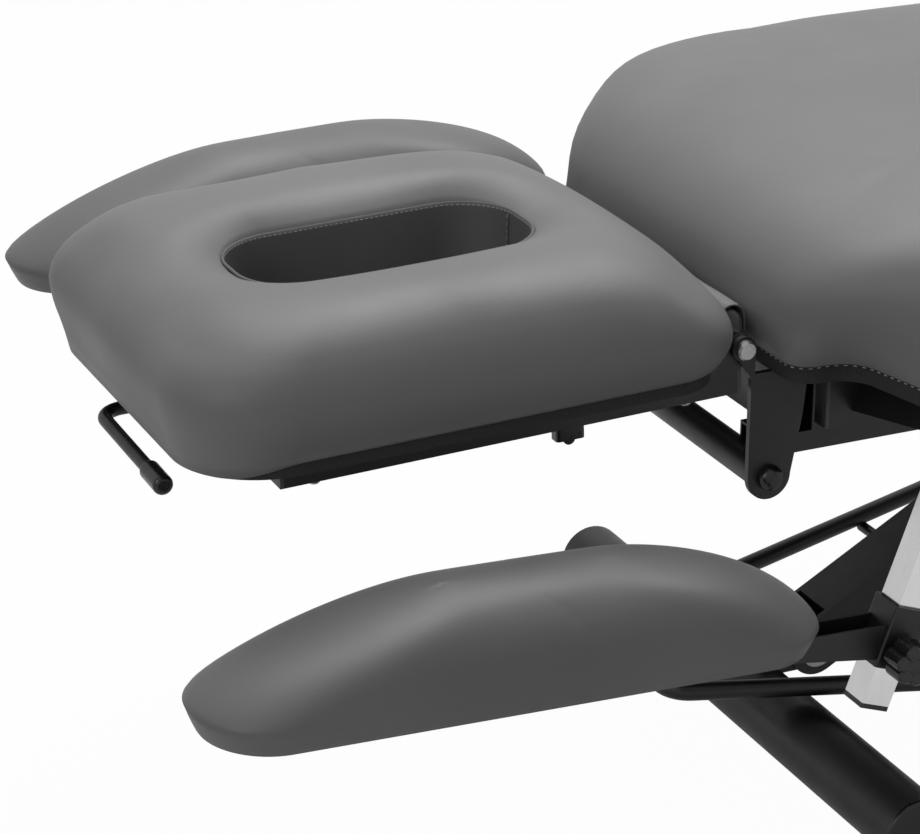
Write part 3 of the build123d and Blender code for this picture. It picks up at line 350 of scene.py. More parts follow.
def insetCorners(corners, depth):
    # Each side moves inward by depth along its normal, and the corners are where the moved sides meet
    corners = np.array(corners, float)
    before, after = sideDirections(corners)
    n1 = np.stack([-before[:, 1], before[:, 0]], axis=1)
    n2 = np.stack([-after[:, 1], after[:, 0]], axis=1)
    return corners + (n1 + n2) * (depth / (1 + (n1 * n2).sum(1)))[:, None]


def boxCorners(x0, x1, y):
    return [(atHinge(x0), -y), (atHinge(x1), -y), (atHinge(x1), y), (atHinge(x0), y)]


def ringAt(form, depth, headDraw, footDraw, z, count):
    # One level ring of a cushion: its outline moved inward, its two ends drawn in further
    corners = np.array(form["corners"], float)
    middle = form.get("drawTo", (corners[:, 0].min() + corners[:, 0].max()) / 2)
    corners[:, 0] += np.where(corners[:, 0] < middle, headDraw, -footDraw)
    radii = np.array(form["radii"]) * (form["half"] - depth) / form["half"]
    line = roundedOutline(insetCorners(corners, depth), radii, count)
    return np.column_stack([line, np.full(count, z)])


def smoothCurve(points, reach, slope, want):
    # A cubic over each span between two points: it passes both and has their slopes, taken over the reach
    k = np.clip(np.searchsorted(reach, want, side="right") - 1, 0, len(reach) - 2)
    shape = (-1,) + (1,) * (points.ndim - 1)
    h = (reach[k + 1] - reach[k]).reshape(shape)
    t = ((want - reach[k]) / (reach[k + 1] - reach[k])).reshape(shape)
    return ((2 * t ** 3 - 3 * t ** 2 + 1) * points[k] + (t ** 3 - 2 * t ** 2 + t) * h * slope[k]
            + (-2 * t ** 3 + 3 * t ** 2) * points[k + 1] + (t ** 3 - t ** 2) * h * slope[k + 1])


def smoothRings(rings, spacing, flatEnd):
    # A smooth curve through the rings, sampled at even steps: its slopes are the mean change of the
    # neighbours over distance, and level at the last ring where flatEnd asks for it
    rings = np.array(rings)
    gap = np.linalg.norm(np.diff(rings, axis=0), axis=2).mean(axis=1)
    reach = np.concatenate([[0], np.cumsum(gap)])
    slope = np.gradient(rings, reach, axis=0)
    if flatEnd:
        slope[-1, :, 2] = 0
    steps = max(int(reach[-1] / spacing), 4)
    return smoothCurve(rings, reach, slope, np.linspace(0, reach[-1], steps + 1))


def straightRings(first, last, steps):
    # Even steps from the first ring towards the last, which is left out
    t = np.linspace(0, 1, steps + 1)[:-1, None, None]
    return first[None] * (1 - t) + last[None] * t


def spineRing(ring, spine, z):
    # The ring pressed onto the middle line of the cushion, so that both halves of the top meet there
    x = np.clip(ring[:, 0], atHinge(spine[0]), atHinge(spine[1]))
    return np.column_stack([x, np.zeros(len(ring)), np.full(len(ring), z)])


def coverRings(form, count):
    # The outer side of a padded cover: under its board's edge, up the skirt, out to the fullest line and in
    # over the shoulder. The cover's rows hold shares of the thickness: height, inset, head draw, foot draw.
    # A fuller outline, where there is one, takes over by 3 b^2 - 2 b^3 up to the height named fullFrom
    low, high, thick = form["skirtZ"], form["seatZ"], form["thick"]
    under = ringAt(form, form["wrap"], 0, 0, low, count)
    rings = [ringAt(form, form["skirt"], 0, 0, low, count)]
    for share, inset, headDraw, footDraw in form["coverShares"]:
        sizes = inset * thick, headDraw * thick, footDraw * thick, high + share * thick, count
        ring = ringAt(form, *sizes)
        if "full" in form:
            blend = min(share / form["fullFrom"], 1)
            ring += (ringAt(form["full"], *sizes) - ring) * blend * blend * (3 - 2 * blend)
        rings.append(ring)
    return under, rings


edgeSteps = {"underside": 6, "turn": 2, "slotWall": 5, "weld": 0.0002}


def paddedPiece(name, form, place, material):
    # Underside from the middle line to the board's edge, down and under the skirt, then the smooth cover
    count = form["count"]
    under, rings = coverRings(form, count)
    inner = under + np.array([0, 0, form["seatZ"] - form["skirtZ"]])
    middle = spineRing(inner, form["spine"], form["seatZ"])
    top = form["seatZ"] + form["thick"] + form["crown"]
    rings.append(spineRing(rings[-1], form["spine"], top))
    rows = [straightRings(middle, inner, edgeSteps["underside"]),
            straightRings(inner, under, edgeSteps["turn"]),
            straightRings(under, rings[0], edgeSteps["turn"]), smoothRings(rings, form["spacing"], True)]
    points = place(np.concatenate(rows))
    return meshPiece(name, points, gridFaces(len(points), count), material, edgeSteps["weld"])


def relax(piece, free, rounds):
    # Evens the surface: each free point moves half way to the mean of its neighbours, again and again
    mesh = piece.data
    count = len(mesh.vertices)
    ends = np.empty(len(mesh.edges) * 2, int)
    mesh.edges.foreach_get("vertices", ends)
    one, other = ends[::2], ends[1::2]
    points = np.empty(count * 3)
    mesh.vertices.foreach_get("co", points)
    points = points.reshape(-1, 3)
    degree = np.bincount(ends, minlength=count)[:, None]
    share = np.clip(free(points), 0, 1)[:, None] * 0.5
    for step in range(rounds):
        near = np.stack([np.bincount(one, points[other, i], count)
                         + np.bincount(other, points[one, i], count) for i in range(3)], axis=1)
        points = points + share * (near / degree - points)
    mesh.vertices.foreach_set("co", points.ravel())
    mesh.update()


foam = {"frames": 20, "quality": 4, "mass": 0.4, "stretch": 30, "shear": 12, "bend": 2}


def swell(piece, firm, pressure, cap):
    # The foam pushes the cover out: a cloth held at its firm points is blown up over some frames. Its moves
    # are held back by cap * tanh(move / cap), so that no point moves further than cap
    scene = bpy.context.scene
    count = len(piece.data.vertices)
    before = np.empty(count * 3)
    piece.data.vertices.foreach_get("co", before)
    group = piece.vertex_groups.new(name="firm")
    group.add(np.flatnonzero(firm(before.reshape(-1, 3))).tolist(), 1.0, "REPLACE")
    cloth = piece.modifiers.new("swell", "CLOTH")
    cloth.settings.quality = foam["quality"]
    cloth.settings.mass = foam["mass"]
    cloth.settings.tension_stiffness = foam["stretch"]
    cloth.settings.compression_stiffness = foam["stretch"]
    cloth.settings.shear_stiffness = foam["shear"]
    cloth.settings.bending_stiffness = foam["bend"]
    cloth.settings.use_pressure = True
    cloth.settings.uniform_pressure_force = pressure
    cloth.settings.vertex_group_mass = "firm"
    cloth.settings.effector_weights.gravity = 0
    cloth.point_cache.frame_start = 1
    cloth.point_cache.frame_end = foam["frames"]
    for step in range(1, foam["frames"] + 1):
        scene.frame_set(step)
    grown = piece.evaluated_get(bpy.context.evaluated_depsgraph_get())
    after = np.empty(count * 3)
    grown.data.vertices.foreach_get("co", after)
    piece.modifiers.remove(cloth)
    piece.vertex_groups.remove(group)
    scene.frame_set(1)
    move = (after - before).reshape(-1, 3)
    far = np.linalg.norm(move, axis=1)[:, None]
    move *= np.tanh(far / cap) * cap / np.maximum(far, 1e-9)
    piece.data.vertices.foreach_set("co", (before.reshape(-1, 3) + move).ravel())
    piece.data.update()
    print(piece.name, "swelled by up to", round(float(np.linalg.norm(move, axis=1).max()) * 1000, 1), "mm")


def asPadding(piece, node, body):
    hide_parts(node)
    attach(piece, body)


seam = {"rings": 5, "sides": 6, "weld": 0.00001, "probe": 0.0005}


def stitches(name, places, along, out, size):
    # One low capsule for each place, laid along the seam: its width is a sine over its length, and it
    # stands half out of the cover
    length, radius = size
    u = np.linspace(0, pi, seam["rings"])
    v = np.linspace(0, 2 * pi, seam["sides"], endpoint=False)
    lengthwise = -np.cos(u)[:, None] * length / 2 + 0 * v[None, :]
    girth = np.sin(u)[:, None] * radius
    body = np.stack([lengthwise, girth * np.cos(v)[None, :], girth * np.sin(v)[None, :]], axis=-1)
    body = body.reshape(-1, 3)
    along = unit(along)
    side = unit(np.cross(out, along))
    lift = np.cross(along, side)
    points = (places[:, None] + body[None, :, 0, None] * along[:, None]
              + body[None, :, 1, None] * side[:, None] + body[None, :, 2, None] * lift[:, None])
    faces = gridFaces(seam["rings"], seam["sides"])
    faces = (faces[None] + (np.arange(len(places)) * len(body))[:, None, None]).reshape(-1, 4)
    return meshPiece(name, points, faces, thread, seam["weld"])


def alongLine(line, spacing, closed=True):
    # Places at even distances on a line, with the line's direction there, taken over a short probe each way
    if closed:
        line = np.vstack([line, line[:1]])
    reach = lengthsAlong(line)
    count = int(reach[-1] / spacing)
    want = (np.arange(count) + 0.5) * reach[-1] / count

    def at(way):
        return np.stack([np.interp(way, reach, line[:, i]) for i in range(3)], axis=1)

    return at(want), at(want + seam["probe"]) - at(want - seam["probe"])


# Main cushion. Each corner of a shoulder has three shares: its place along the shoulder's length, its way out
# from the neck to the full half width, and its radius over the shoulder's length
mainTop = {
    "start": 0.014, "end": 1.500, "half": 0.350, "neck": 0.207, "neckRadius": 0.018,
    "shoulder": 0.316, "footRadius": 0.060, "drawTo": atHinge(0.070),
    "shoulderShares": ((0.165, 0.012, 0.095), (0.222, 0.600, 0.120), (0.530, 0.862, 0.450), (1, 1, 0.950)),
    "thick": 0.128, "crown": 0.004, "skirt": 0.0114, "wrap": 0.0126,
    "skirtZ": table["railTopZ"] + 0.0152, "seatZ": table["railTopZ"] + 0.0153, "fullFrom": 0.55,
    "coverShares": ((0, 0.060, 0, 0), (0.10, 0.025, 0, 0), (0.28, 0, 0, 0), (0.42, 0.003, 0.030, 0),
                    (0.54, 0.012, 0.085, 0.01), (0.65, 0.035, 0.155, 0.03), (0.76, 0.080, 0.250, 0.07),
                    (0.87, 0.160, 0.370, 0.12), (0.95, 0.300, 0.480, 0.18), (1, 0.520, 0.660, 0.22)),
    "spine": (0.32, 1.16), "count": 460, "spacing": 0.010, "pressure": 3.0, "cap": 0.002,
    "freeFrom": 0.015, "freeOver": 0.020, "rounds": 30, "firmTo": 0.020,
}
# The foam fills the shoulders higher up: there the outline is this fuller one, without hollows
mainFull = {"half": 0.350, "radii": (0.018, 0.060, 0.300, 0.060), "drawTo": mainTop["drawTo"],
            "side": ((0.010, 0.224), (0.118, 0.320), (0.330, 0.350), (1.500, 0.350))}


def mirroredSide(side):
    # The near side's corners from the head end on, then the far side's back to it
    near = [(atHinge(x), -y) for x, y in side]
    return near + [(x, -y) for x, y in reversed(near)]


def mainCorners(form):
    # Neck corner, shoulder corners placed by their shares, and foot corner of one side, then both sides
    depth = form["half"] - form["neck"]
    side = [(form["start"], form["neck"])]
    radii = [form["neckRadius"]]
    for along, out, radius in form["shoulderShares"]:
        side.append((form["start"] + along * form["shoulder"], form["neck"] + out * depth))
        radii.append(radius * form["shoulder"])
    side.append((form["end"], form["half"]))
    radii.append(form["footRadius"])
    return mirroredSide(side), radii + radii[::-1]


mainTop["corners"], mainTop["radii"] = mainCorners(mainTop)
mainFull["corners"] = mirroredSide(mainFull["side"])
mainFull["radii"] += mainFull["radii"][::-1]
mainTop["full"] = mainFull
mainCushion = paddedPiece("mainCushion", mainTop, lambda p: p, vinyl)
relax(mainCushion, lambda p: (p[:, 2] - mainTop["seatZ"] - mainTop["freeFrom"]) / mainTop["freeOver"],
      mainTop["rounds"])
swell(mainCushion, lambda p: p[:, 2] < mainTop["seatZ"] + mainTop["firmTo"],
      mainTop["pressure"], mainTop["cap"])
asPadding(mainCushion, "main_cushion", "top_frame")

hem = {"gap": 0.0072, "inset": 0.0080, "rise": 0.0006, "points": 2000, "stitch": (0.0036, 0.0005)}
hemLine = ringAt(mainTop, hem["inset"], 0, 0, mainTop["seatZ"] + hem["rise"], hem["points"])
places, along = alongLine(hemLine, hem["gap"])
outward = np.column_stack([along[:, 1], -along[:, 0], np.zeros(len(along))])
mainHemStitches = stitches("mainHemStitches", places, along, outward, hem["stitch"])
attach(mainHemStitches, "top_frame")
print("main cushion ready")


# Head cushion with its face slot
headTop = {
    "start": -0.461, "end": -0.014, "half": 0.200, "freeRadius": 0.078, "hingeRadius": 0.046,
    "thick": 0.100, "skirt": 0.0114, "wrap": 0.0126,
    "skirtZ": table["headRailTopZ"] + 0.0008, "seatZ": table["headRailTopZ"] + 0.0123,
    "coverShares": ((0, 0.090, 0.005, 0), (0.11, 0.045, 0.03, 0), (0.31, 0, 0.03, 0),
                    (0.50, 0.01, 0.01, 0.01), (0.66, 0.07, 0.04, 0.03), (0.80, 0.17, 0.12, 0.10)),
    "fadeX": 0.042, "fadeY": 0.0185, "easePower": 1.25, "crown": 0.001, "crownPower": 6,
    "count": 300, "spacing": 0.007, "pressure": 3.0, "cap": 0.0015,
    "skirtLift": 0.0095, "liftFrom": -0.430, "liftRun": 0.055,
    "sag": 0.007, "sagReach": 0.060, "cornerSag": 0.027, "cornerReach": 0.080,
    "firmSlot": (0.132, 0.073), "firmTo": 0.004, "firmSlope": 0.035,
}
slotShape = {"start": -0.353, "end": -0.113, "half": 0.060, "radius": 0.050, "lip": 0.002, "drop": 0.019,
             "roll": 0.058, "rollLean": 0.022, "rollPower": 2.1}
slotX = atHinge((slotShape["start"] + slotShape["end"]) / 2)
rimZ = headTop["seatZ"] + headTop["thick"] - slotShape["drop"]


def onHead(points):
    return tilted(points, table["headTilt"], atHinge(table["hingeX"]), table["hingeZ"])


def slotRing(grow, z, count):
    # The slot's outline, moved out by grow
    corners = boxCorners(slotShape["start"], slotShape["end"], slotShape["half"])
    line = roundedOutline(insetCorners(corners, -grow), [slotShape["radius"] + grow] * 4, count)
    return np.column_stack([line, np.full(count, z)])


def endSag(x, y):
    # A fall of exp(-(distance / reach)^2) towards the hinge end, and a second one towards each corner there
    toEnd, toSide = atHinge(headTop["end"]) - x, headTop["half"] - np.abs(y)
    near = np.exp(-(toEnd / headTop["sagReach"]) ** 2)
    corner = np.exp(-(toEnd / headTop["cornerReach"]) ** 2 - (toSide / headTop["cornerReach"]) ** 2)
    return headTop["sag"] * near + headTop["cornerSag"] * corner


def headPoints(form):
    # Outside rows as on the other cushions; the top runs from the last of them to the slot's rim. Its
    # height is the thickness less a shoulder that fades as exp(-distance / fade), less the rim's roll, a
    # power of what is left of the way to the slot, and less the sag towards the hinge end
    count = form["count"]
    under, rings = coverRings(form, count)
    for ring in (under, rings[0]):
        way = np.clip((ring[:, 0] - atHinge(form["liftFrom"])) / form["liftRun"], 0, 1)
        ring[:, 2] += form["skirtLift"] * way * way * (3 - 2 * way)
    for ring in rings[1:]:
        ring[:, 2] -= endSag(ring[:, 0], ring[:, 1]) * (ring[:, 2] - form["seatZ"]) / form["thick"]
    edge = rings[-1]
    rim = slotRing(slotShape["lip"], rimZ, count)
    flat = edge[:, :2]
    across = rim[:, :2] - flat
    reach = np.linalg.norm(across, axis=1)
    fade = np.abs(across[:, 0]) * form["fadeX"] + np.abs(across[:, 1]) * form["fadeY"]
    fade /= np.abs(across).sum(axis=1)
    t = np.linspace(0, 1, int(reach.mean() / form["spacing"]) + 2)[1:, None]
    t = 1 - (1 - t) ** form["easePower"]
    way = t * reach[None, :]
    left = (1 - t) * reach[None, :]
    shoulder = form["seatZ"] + form["thick"] - edge[:, 2] - endSag(edge[:, 0], edge[:, 1])
    shoulder = shoulder * np.exp(-way / fade[None, :])
    rollReach = slotShape["roll"] - slotShape["rollLean"] * np.clip(rim[:, 1] / slotShape["half"], -1, 1)
    roll = slotShape["drop"] * np.clip(1 - left / rollReach, 0, 1) ** slotShape["rollPower"]
    fill = 1 - np.exp(-(way / fade[None, :]) ** 2)
    z = (form["seatZ"] + form["thick"] - shoulder - roll
         + form["crown"] * fill * (1 - t ** form["crownPower"]))
    z = z - endSag(flat[:, 0] + t * across[:, 0], flat[:, 1] + t * across[:, 1])
    topRows = np.concatenate([flat[None] + t[:, :, None] * across[None], z[:, :, None]], axis=2)
    low = slotRing(slotShape["lip"], form["seatZ"], count)
    inner = np.column_stack([under[:, :2], np.full(count, form["seatZ"])])
    rows = [straightRings(low, inner, edgeSteps["slotWall"]),
            straightRings(inner, under, edgeSteps["turn"]),
            straightRings(under, rings[0], edgeSteps["turn"]), smoothRings(rings, form["spacing"], False),
            topRows, straightRings(rim, low, edgeSteps["slotWall"])[1:]]
    return np.concatenate(rows)


def headFirm(p):
    # Held: the slot's rim and wall, and all below a line over the seat that follows the tilt
    along, across = headTop["firmSlot"]
    nearSlot = (np.abs(p[:, 0] - slotX) < along) & (np.abs(p[:, 1]) < across)
    firmZ = headTop["seatZ"] + headTop["firmTo"] - (p[:, 0] - atHinge(0)) * headTop["firmSlope"]
    return nearSlot | (p[:, 2] < firmZ)


headTop["corners"] = boxCorners(headTop["start"], headTop["end"], headTop["half"])
headTop["radii"] = [headTop[key] for key in ("freeRadius", "hingeRadius", "hingeRadius", "freeRadius")]
headRows = onHead(headPoints(headTop))
headFaces = gridFaces(len(headRows), headTop["count"], closeRows=True)
headCushion = meshPiece("headCushion", headRows, headFaces, vinyl)
swell(headCushion, headFirm, headTop["pressure"], headTop["cap"])
asPadding(headCushion, "head_cushion", "head_section")


# Lining of the face slot
lining = {
    "count": 240, "rows": 26, "belly": 0.0022, "flare": 0.0006, "footRise": 0.0005, "thick": 0.0010,
    "lipRows": 4, "lipOut": 0.0006, "lipFold": 0.0016, "lipDrop": 0.0016, "lipRise": 0.0014,
    "stitchGap": 0.0043, "stitchDrop": 0.0024, "stitchIn": 0.0014, "stitch": (0.0030, 0.0005),
    "points": 480, "seamX": -0.1165, "seamY": 0.018, "seamRow": 5, "seamOut": 0.0006, "seamGap": 0.0056,
    "seamBeside": 0.0026, "seamStitch": (0.0034, 0.0006),
    "rollOut": 0.0004, "rollRadius": 0.0009, "rollSides": 8,
}


def liningPoints():
    # A wall hung from the slot's seam: drawn in by belly * sin over its height, its foot level with the
    # underside of the board, and folded over the seam by a small lip, a quarter of a round, at its top
    wall = slotShape["lip"] + lining["lipOut"] - lining["lipFold"]
    top = rimZ + lining["lipRise"] - lining["lipDrop"]
    foot = table["headRailTopZ"] + lining["footRise"]
    fold = np.linspace(0, pi / 2, lining["lipRows"] + 1)[:-1]
    down = np.linspace(0, 1, lining["rows"])
    grow = np.concatenate([wall + lining["lipFold"] * np.cos(fold),
                           wall - lining["belly"] * np.sin(pi * down) + lining["flare"] * down])
    z = np.concatenate([rimZ - lining["lipDrop"] + lining["lipRise"] * np.sin(fold),
                        top + (foot - top) * down])
    return onHead(np.array([slotRing(*row, lining["count"]) for row in zip(grow, z)]))


def asLining(piece):
    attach(piece, "head_section")


liningRows = liningPoints()
# The lining's darker vinyl is painted shade of the slot's inside, not a different cloth
slotLining = clothSheet("slotLining", liningRows, gridFaces(len(liningRows), lining["count"]), shadedLiningVinyl,
                        lining["thick"])
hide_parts("face_slot_liner")
asLining(slotLining)

seamRing = slotRing(slotShape["lip"] - lining["stitchIn"], rimZ - lining["stitchDrop"], lining["points"])
places, along = alongLine(onHead(seamRing), lining["stitchGap"])
outward = np.column_stack([slotX - places[:, 0], -places[:, 1], np.zeros(len(places))])
asLining(stitches("slotRimStitches", places, along, outward, lining["stitch"]))

# The lining's own joint: an upright seam near the hinge end, a thin roll with stitches beside it
row = liningRows[lining["seamRow"] + 1]
seamAt = np.argmin(np.abs(row[:, 1] - lining["seamY"]) + np.abs(row[:, 0] - atHinge(lining["seamX"])))
upright = liningRows[lining["seamRow"]:, seamAt] - np.array([lining["seamOut"], 0, 0])
places, along = alongLine(upright, lining["seamGap"], closed=False)
outward = np.column_stack([-np.ones(len(places)), np.zeros(len(places)), np.zeros(len(places))])
asLining(stitches("slotSeamStitches", places + np.array([0, lining["seamBeside"], 0]), along, outward,
                  lining["seamStitch"]))


def tubeAlong(name, line, radius, sides, material):
    # A round section carried along a line: each ring stands square to the line, and both ends are closed
    ahead = unit(np.gradient(line, axis=0))
    up = np.where(np.abs(ahead[:, 2:3]) > 0.9, np.array([[1.0, 0, 0]]), np.array([[0, 0, 1.0]]))
    side = unit(np.cross(up, ahead))
    lift = np.cross(ahead, side)
    v = np.linspace(0, 2 * pi, sides, endpoint=False)[None, :, None]
    rings = line[:, None] + (side[:, None] * np.cos(v) + lift[:, None] * np.sin(v)) * radius
    rings = np.concatenate([np.repeat(line[:1, None], sides, axis=1), rings,
                            np.repeat(line[-1:, None], sides, axis=1)])
    return meshPiece(name, rings, gridFaces(len(rings), sides), material, 0.000001)


rollLine = upright - np.array([lining["rollOut"], 0, 0])
# The roll wears the lining's darker vinyl too: painted shade
asLining(tubeAlong("slotSeamRoll", rollLine, lining["rollRadius"], lining["rollSides"], shadedLiningVinyl))
print("head cushion ready")


# Armrest pads. Pitch, lean and tilt are in degrees
padTop = {
    "start": -0.507, "end": -0.012, "half": 0.0625, "radius": 0.060, "sideY": 0.290,
    "thick": 0.079, "crown": 0.0035, "skirt": 0.0105, "wrap": 0.0116, "pinX": -0.190, "pinDrop": 0.006,
    "rimZ": 0.249, "sleeveX": 0.0625, "pitch": 2.2, "lean": 20.0, "clear": 0.0003, "skirtRise": 0.0006,
    "boardThick": 0.009,
    "coverShares": ((0, 0.082, 0, 0), (0.07, 0.055, 0, 0), (0.15, 0.024, 0, 0), (0.24, 0, 0, 0),
                    (0.35, 0.006, 0.18, 0.09), (0.48, 0.025, 0.50, 0.21), (0.60, 0.063, 0.83, 0.39),
                    (0.71, 0.108, 1.13, 0.64), (0.81, 0.19, 1.42, 0.94), (0.895, 0.304, 1.65, 1.25),
                    (0.96, 0.43, 1.84, 1.54), (1, 0.57, 1.97, 1.76)),
    "spine": (-0.34, -0.16), "count": 230, "spacing": 0.005, "pressure": 3.5, "cap": 0.0012,
    "freeFrom": 0.012, "freeOver": 0.020, "rounds": 120, "firmTo": 0.010,
}
padSides = {"near": {"sign": -1, "slide": 0.0, "tilt": 0.0},
            "far": {"sign": 1, "slide": 0.166, "tilt": 4.5}}
padRim = padTop["rimZ"] + (padTop["sleeveX"] - padTop["pinX"]) * np.tan(radians(padTop["pitch"]))
padTop["skirtZ"] = padRim + padTop["clear"] + padTop["skirtRise"]
padTop["seatZ"] = padRim + padTop["clear"] + padTop["boardThick"] + padTop["clear"]
padTop["corners"] = boxCorners(padTop["start"], padTop["end"], padTop["half"])
padTop["radii"] = [padTop["radius"]] * 4


def makePad(side):
    # A pad is drawn level on the middle line, moved out to its post, turned on its pin and slid up its
    # post. A height over its seat is taken along Z, from the plane of the turned seat
    how = padSides[side]
    slideX = how["slide"] * sin(radians(padTop["lean"]))
    slideZ = how["slide"] * cos(radians(padTop["lean"]))
    turn, pinX = how["tilt"] - padTop["pitch"], atHinge(padTop["pinX"])

    def place(points):
        moved = points + np.array([0, how["sign"] * padTop["sideY"], 0])
        return tilted(moved, turn, pinX, padRim - padTop["pinDrop"]) + np.array([slideX, 0, slideZ])

    def overSeat(p):
        return p[:, 2] - np.tan(radians(turn)) * (p[:, 0] - pinX - slideX) - padTop["seatZ"] - slideZ

    # The pad's darker vinyl is painted shade: the same grey vinyl as the cushions, made darker
    pad = paddedPiece(side + "ArmPad", padTop, place, shadedPadVinyl)
    relax(pad, lambda p: (overSeat(p) - padTop["freeFrom"]) / padTop["freeOver"], padTop["rounds"])
    swell(pad, lambda p: overSeat(p) < padTop["firmTo"], padTop["pressure"], padTop["cap"])
    asPadding(pad, side + "_pad_cushion", side + "_pad")


for side in padSides:
    makePad(side)
print("armrest pads ready")


# Flap over the head hinge. Both profiles are X from the hinge line and Z; a wave is size, rate and phase
flap = {
    "half": 0.1380, "trim": 0.001, "columns": 96, "rows": 49,
    "outer": ((-0.0142, 0.4215), (-0.0125, 0.4300), (-0.0116, 0.4400), (-0.0114, 0.4480), (-0.0094, 0.4548),
              (-0.0050, 0.4592), (0.0, 0.4604), (0.0050, 0.4592), (0.0094, 0.4548), (0.0114, 0.4480),
              (0.0118, 0.4400), (0.0126, 0.4300), (0.0136, 0.4180)),
    "inner": ((-0.0094, 0.4360), (-0.0090, 0.4420), (-0.0078, 0.4480), (-0.0040, 0.4530), (0.0004, 0.4545),
              (0.0046, 0.4525), (0.0080, 0.4470), (0.0092, 0.4410), (0.0098, 0.4340)),
    "outerThick": 0.0012, "innerThick": 0.0010, "outerSlack": 1.0, "innerSlack": 0.5,
    "wavesFromZ": 0.43, "wavesOverZ": 0.03, "swayX": (0.0006, 41, 0.7), "rippleX": (0.0004, 97, 0),
    "swayZ": (0.0007, 33, 1.9), "endDrop": 0.0009, "endPower": 6,
    "hem": 0.0045, "hemGap": 0.0044, "hemTrim": 6, "hemOut": 0.0007, "hemCentreZ": 0.444,
    "hemStitch": (0.0030, 0.0006), "bendX": 0.0118, "bendZ": 0.43,
}


def flapPoints(profile, half, slack):
    # The fold's smooth line in X and Z carried along Y, with slow sine waves that grow with height, and
    # with ends that fall as a high power of Y
    line = np.array(profile)
    reach = lengthsAlong(line)
    slope = np.gradient(line, reach, axis=0)
    curve = smoothCurve(line, reach, slope, np.linspace(0, reach[-1], flap["rows"]))
    y = np.linspace(-half, half, flap["columns"])

    def wave(size, rate, phase):
        return size * np.sin(y * rate + phase)

    x = atHinge(curve[:, 0])[:, None] + 0 * y[None, :]
    z = curve[:, 1][:, None] + 0 * y[None, :]
    ends = (np.abs(y) / half) ** flap["endPower"]
    height = np.clip((curve[:, 1] - flap["wavesFromZ"]) / flap["wavesOverZ"], 0, 1)[:, None]
    x = x + slack * height * (wave(*flap["swayX"]) + wave(*flap["rippleX"]))[None, :]
    z = z + slack * height * (wave(*flap["swayZ"]) - flap["endDrop"] * ends)[None, :]
    return np.stack([x, np.broadcast_to(y, x.shape), z], axis=-1)


def flapSheet(name, layer, half):
    points = flapPoints(flap[layer], half, flap[layer + "Slack"])
    faces = gridFaces(*points.shape[:2], closeColumns=False)
    return clothSheet(name, points, faces, vinyl, flap[layer + "Thick"]), points


def flapHem(name, points, column, inward):
    # A row of stitches beside the flap's free end, standing out of its outer face
    line = points[flap["hemTrim"]:-flap["hemTrim"], column] + np.array([0, inward, 0])
    places, along = alongLine(line, flap["hemGap"], closed=False)
    out = places - np.array([atHinge(0.0), 0, flap["hemCentreZ"]])
    out[:, 1] = 0
    out = unit(out)
    return stitches(name, places + out * flap["hemOut"], along, out, flap["hemStitch"])


outerFlap, outerPoints = flapSheet("hingeFlapOuter", "outer", flap["half"])
innerFlap, innerPoints = flapSheet("hingeFlapInner", "inner", flap["half"] - flap["trim"])
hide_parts("hinge_flap")
flapHems = [flapHem("flapHemNear", outerPoints, 0, flap["hem"]),
            flapHem("flapHemFar", outerPoints, -1, -flap["hem"])]
for piece in [outerFlap, innerFlap] + flapHems:
    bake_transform(piece)
print("hinge flap ready")


# Studio: a pale floor and three soft lamps, with powers in watts. The white shares say how much of the
# floor and of the air is plain white to the camera's own rays, and to those of reflections
studio = {"floorSize": 9.0, "floorShade": 0.62, "floorRough": 0.9, "air": 0.27,
          "floorWhiteShares": (0.975, 0.3), "airWhiteShares": (1.0, 0.5)}
lamps = (
    {"name": "overhead", "place": (0.2, 0.9, 3.0), "aim": (0.0, 0.1, 0.4),
     "size": (3.0, 2.0), "power": 100.0},
    {"name": "headSide", "place": (-2.9, -1.2, 1.7), "aim": (-0.2, 0.0, 0.35),
     "size": (1.6, 1.4), "power": 16.0},
    {"name": "footSide", "place": (1.6, -2.8, 1.3), "aim": (0.1, 0.0, 0.3),
     "size": (1.6, 1.2), "power": 1.5},
)


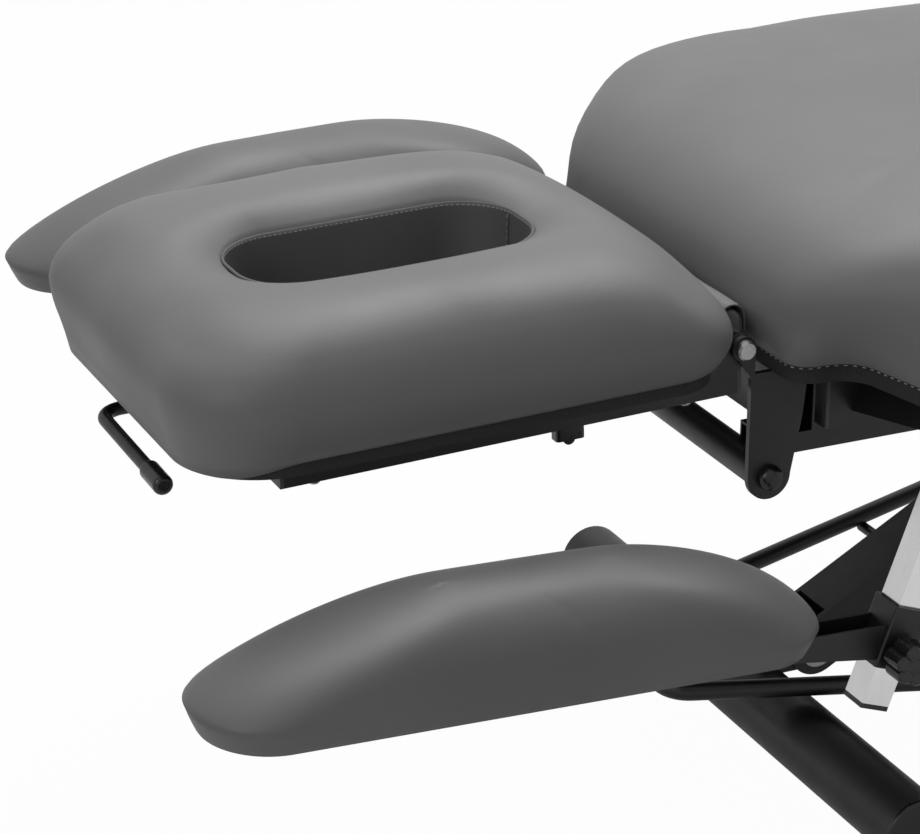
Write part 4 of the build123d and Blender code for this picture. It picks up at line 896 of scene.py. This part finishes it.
def mixWhite(tree, lit, white, shares, output):
    # Plain white over the lit surface, by the larger of the two rays' shares
    ray = addNode(tree, "ShaderNodeLightPath")
    either = addNode(tree, "ShaderNodeMath", operation="MAXIMUM")
    for i, kind in enumerate(("Is Camera Ray", "Is Glossy Ray")):
        part = addNode(tree, "ShaderNodeMath", operation="MULTIPLY")
        part.inputs[1].default_value = shares[i]
        tree.links.new(ray.outputs[kind], part.inputs[0])
        tree.links.new(part.outputs[0], either.inputs[i])
    mix = addNode(tree, "ShaderNodeMixShader")
    tree.links.new(either.outputs[0], mix.inputs[0])
    tree.links.new(lit.outputs[0], mix.inputs[1])
    tree.links.new(white.outputs[0], mix.inputs[2])
    tree.links.new(mix.outputs[0], next(n for n in tree.nodes if n.type == output).inputs["Surface"])


half = studio["floorSize"] / 2
floorMesh = bpy.data.meshes.new("studioFloor")
floorCorners = [(-half, -half, 0), (half, -half, 0), (half, half, 0), (-half, half, 0)]
floorMesh.from_pydata(floorCorners, [], [(0, 1, 2, 3)])
floor = bpy.data.objects.new("studioFloor", floorMesh)
bpy.context.scene.collection.objects.link(floor)
floorLook, tree, shader, place = newMaterial("paleFloor")
shader.inputs["Base Color"].default_value = (*[studio["floorShade"]] * 3, 1)
shader.inputs["Roughness"].default_value = studio["floorRough"]
glow = addNode(tree, "ShaderNodeEmission", Color=(1, 1, 1, 1))
mixWhite(tree, shader, glow, studio["floorWhiteShares"], "OUTPUT_MATERIAL")
floorMesh.materials.append(floorLook)

world = bpy.data.worlds.new("studioAir")
world.use_nodes = True
bpy.context.scene.world = world
tree = world.node_tree
air = next(n for n in tree.nodes if n.type == "BACKGROUND")
air.inputs["Color"].default_value = (1, 1, 1, 1)
air.inputs["Strength"].default_value = studio["air"]
seen = addNode(tree, "ShaderNodeBackground", Color=(1, 1, 1, 1), Strength=1.0)
mixWhite(tree, air, seen, studio["airWhiteShares"], "OUTPUT_WORLD")

for lamp in lamps:
    data = bpy.data.lights.new(lamp["name"], "AREA")
    data.shape = "RECTANGLE"
    data.size, data.size_y = lamp["size"]
    data.energy = lamp["power"]
    light = bpy.data.objects.new(lamp["name"], data)
    bpy.context.scene.collection.objects.link(light)
    light.location = lamp["place"]
    light.rotation_euler = (Vector(lamp["aim"]) - Vector(lamp["place"])).to_track_quat("-Z", "Y").to_euler()
print("studio ready")
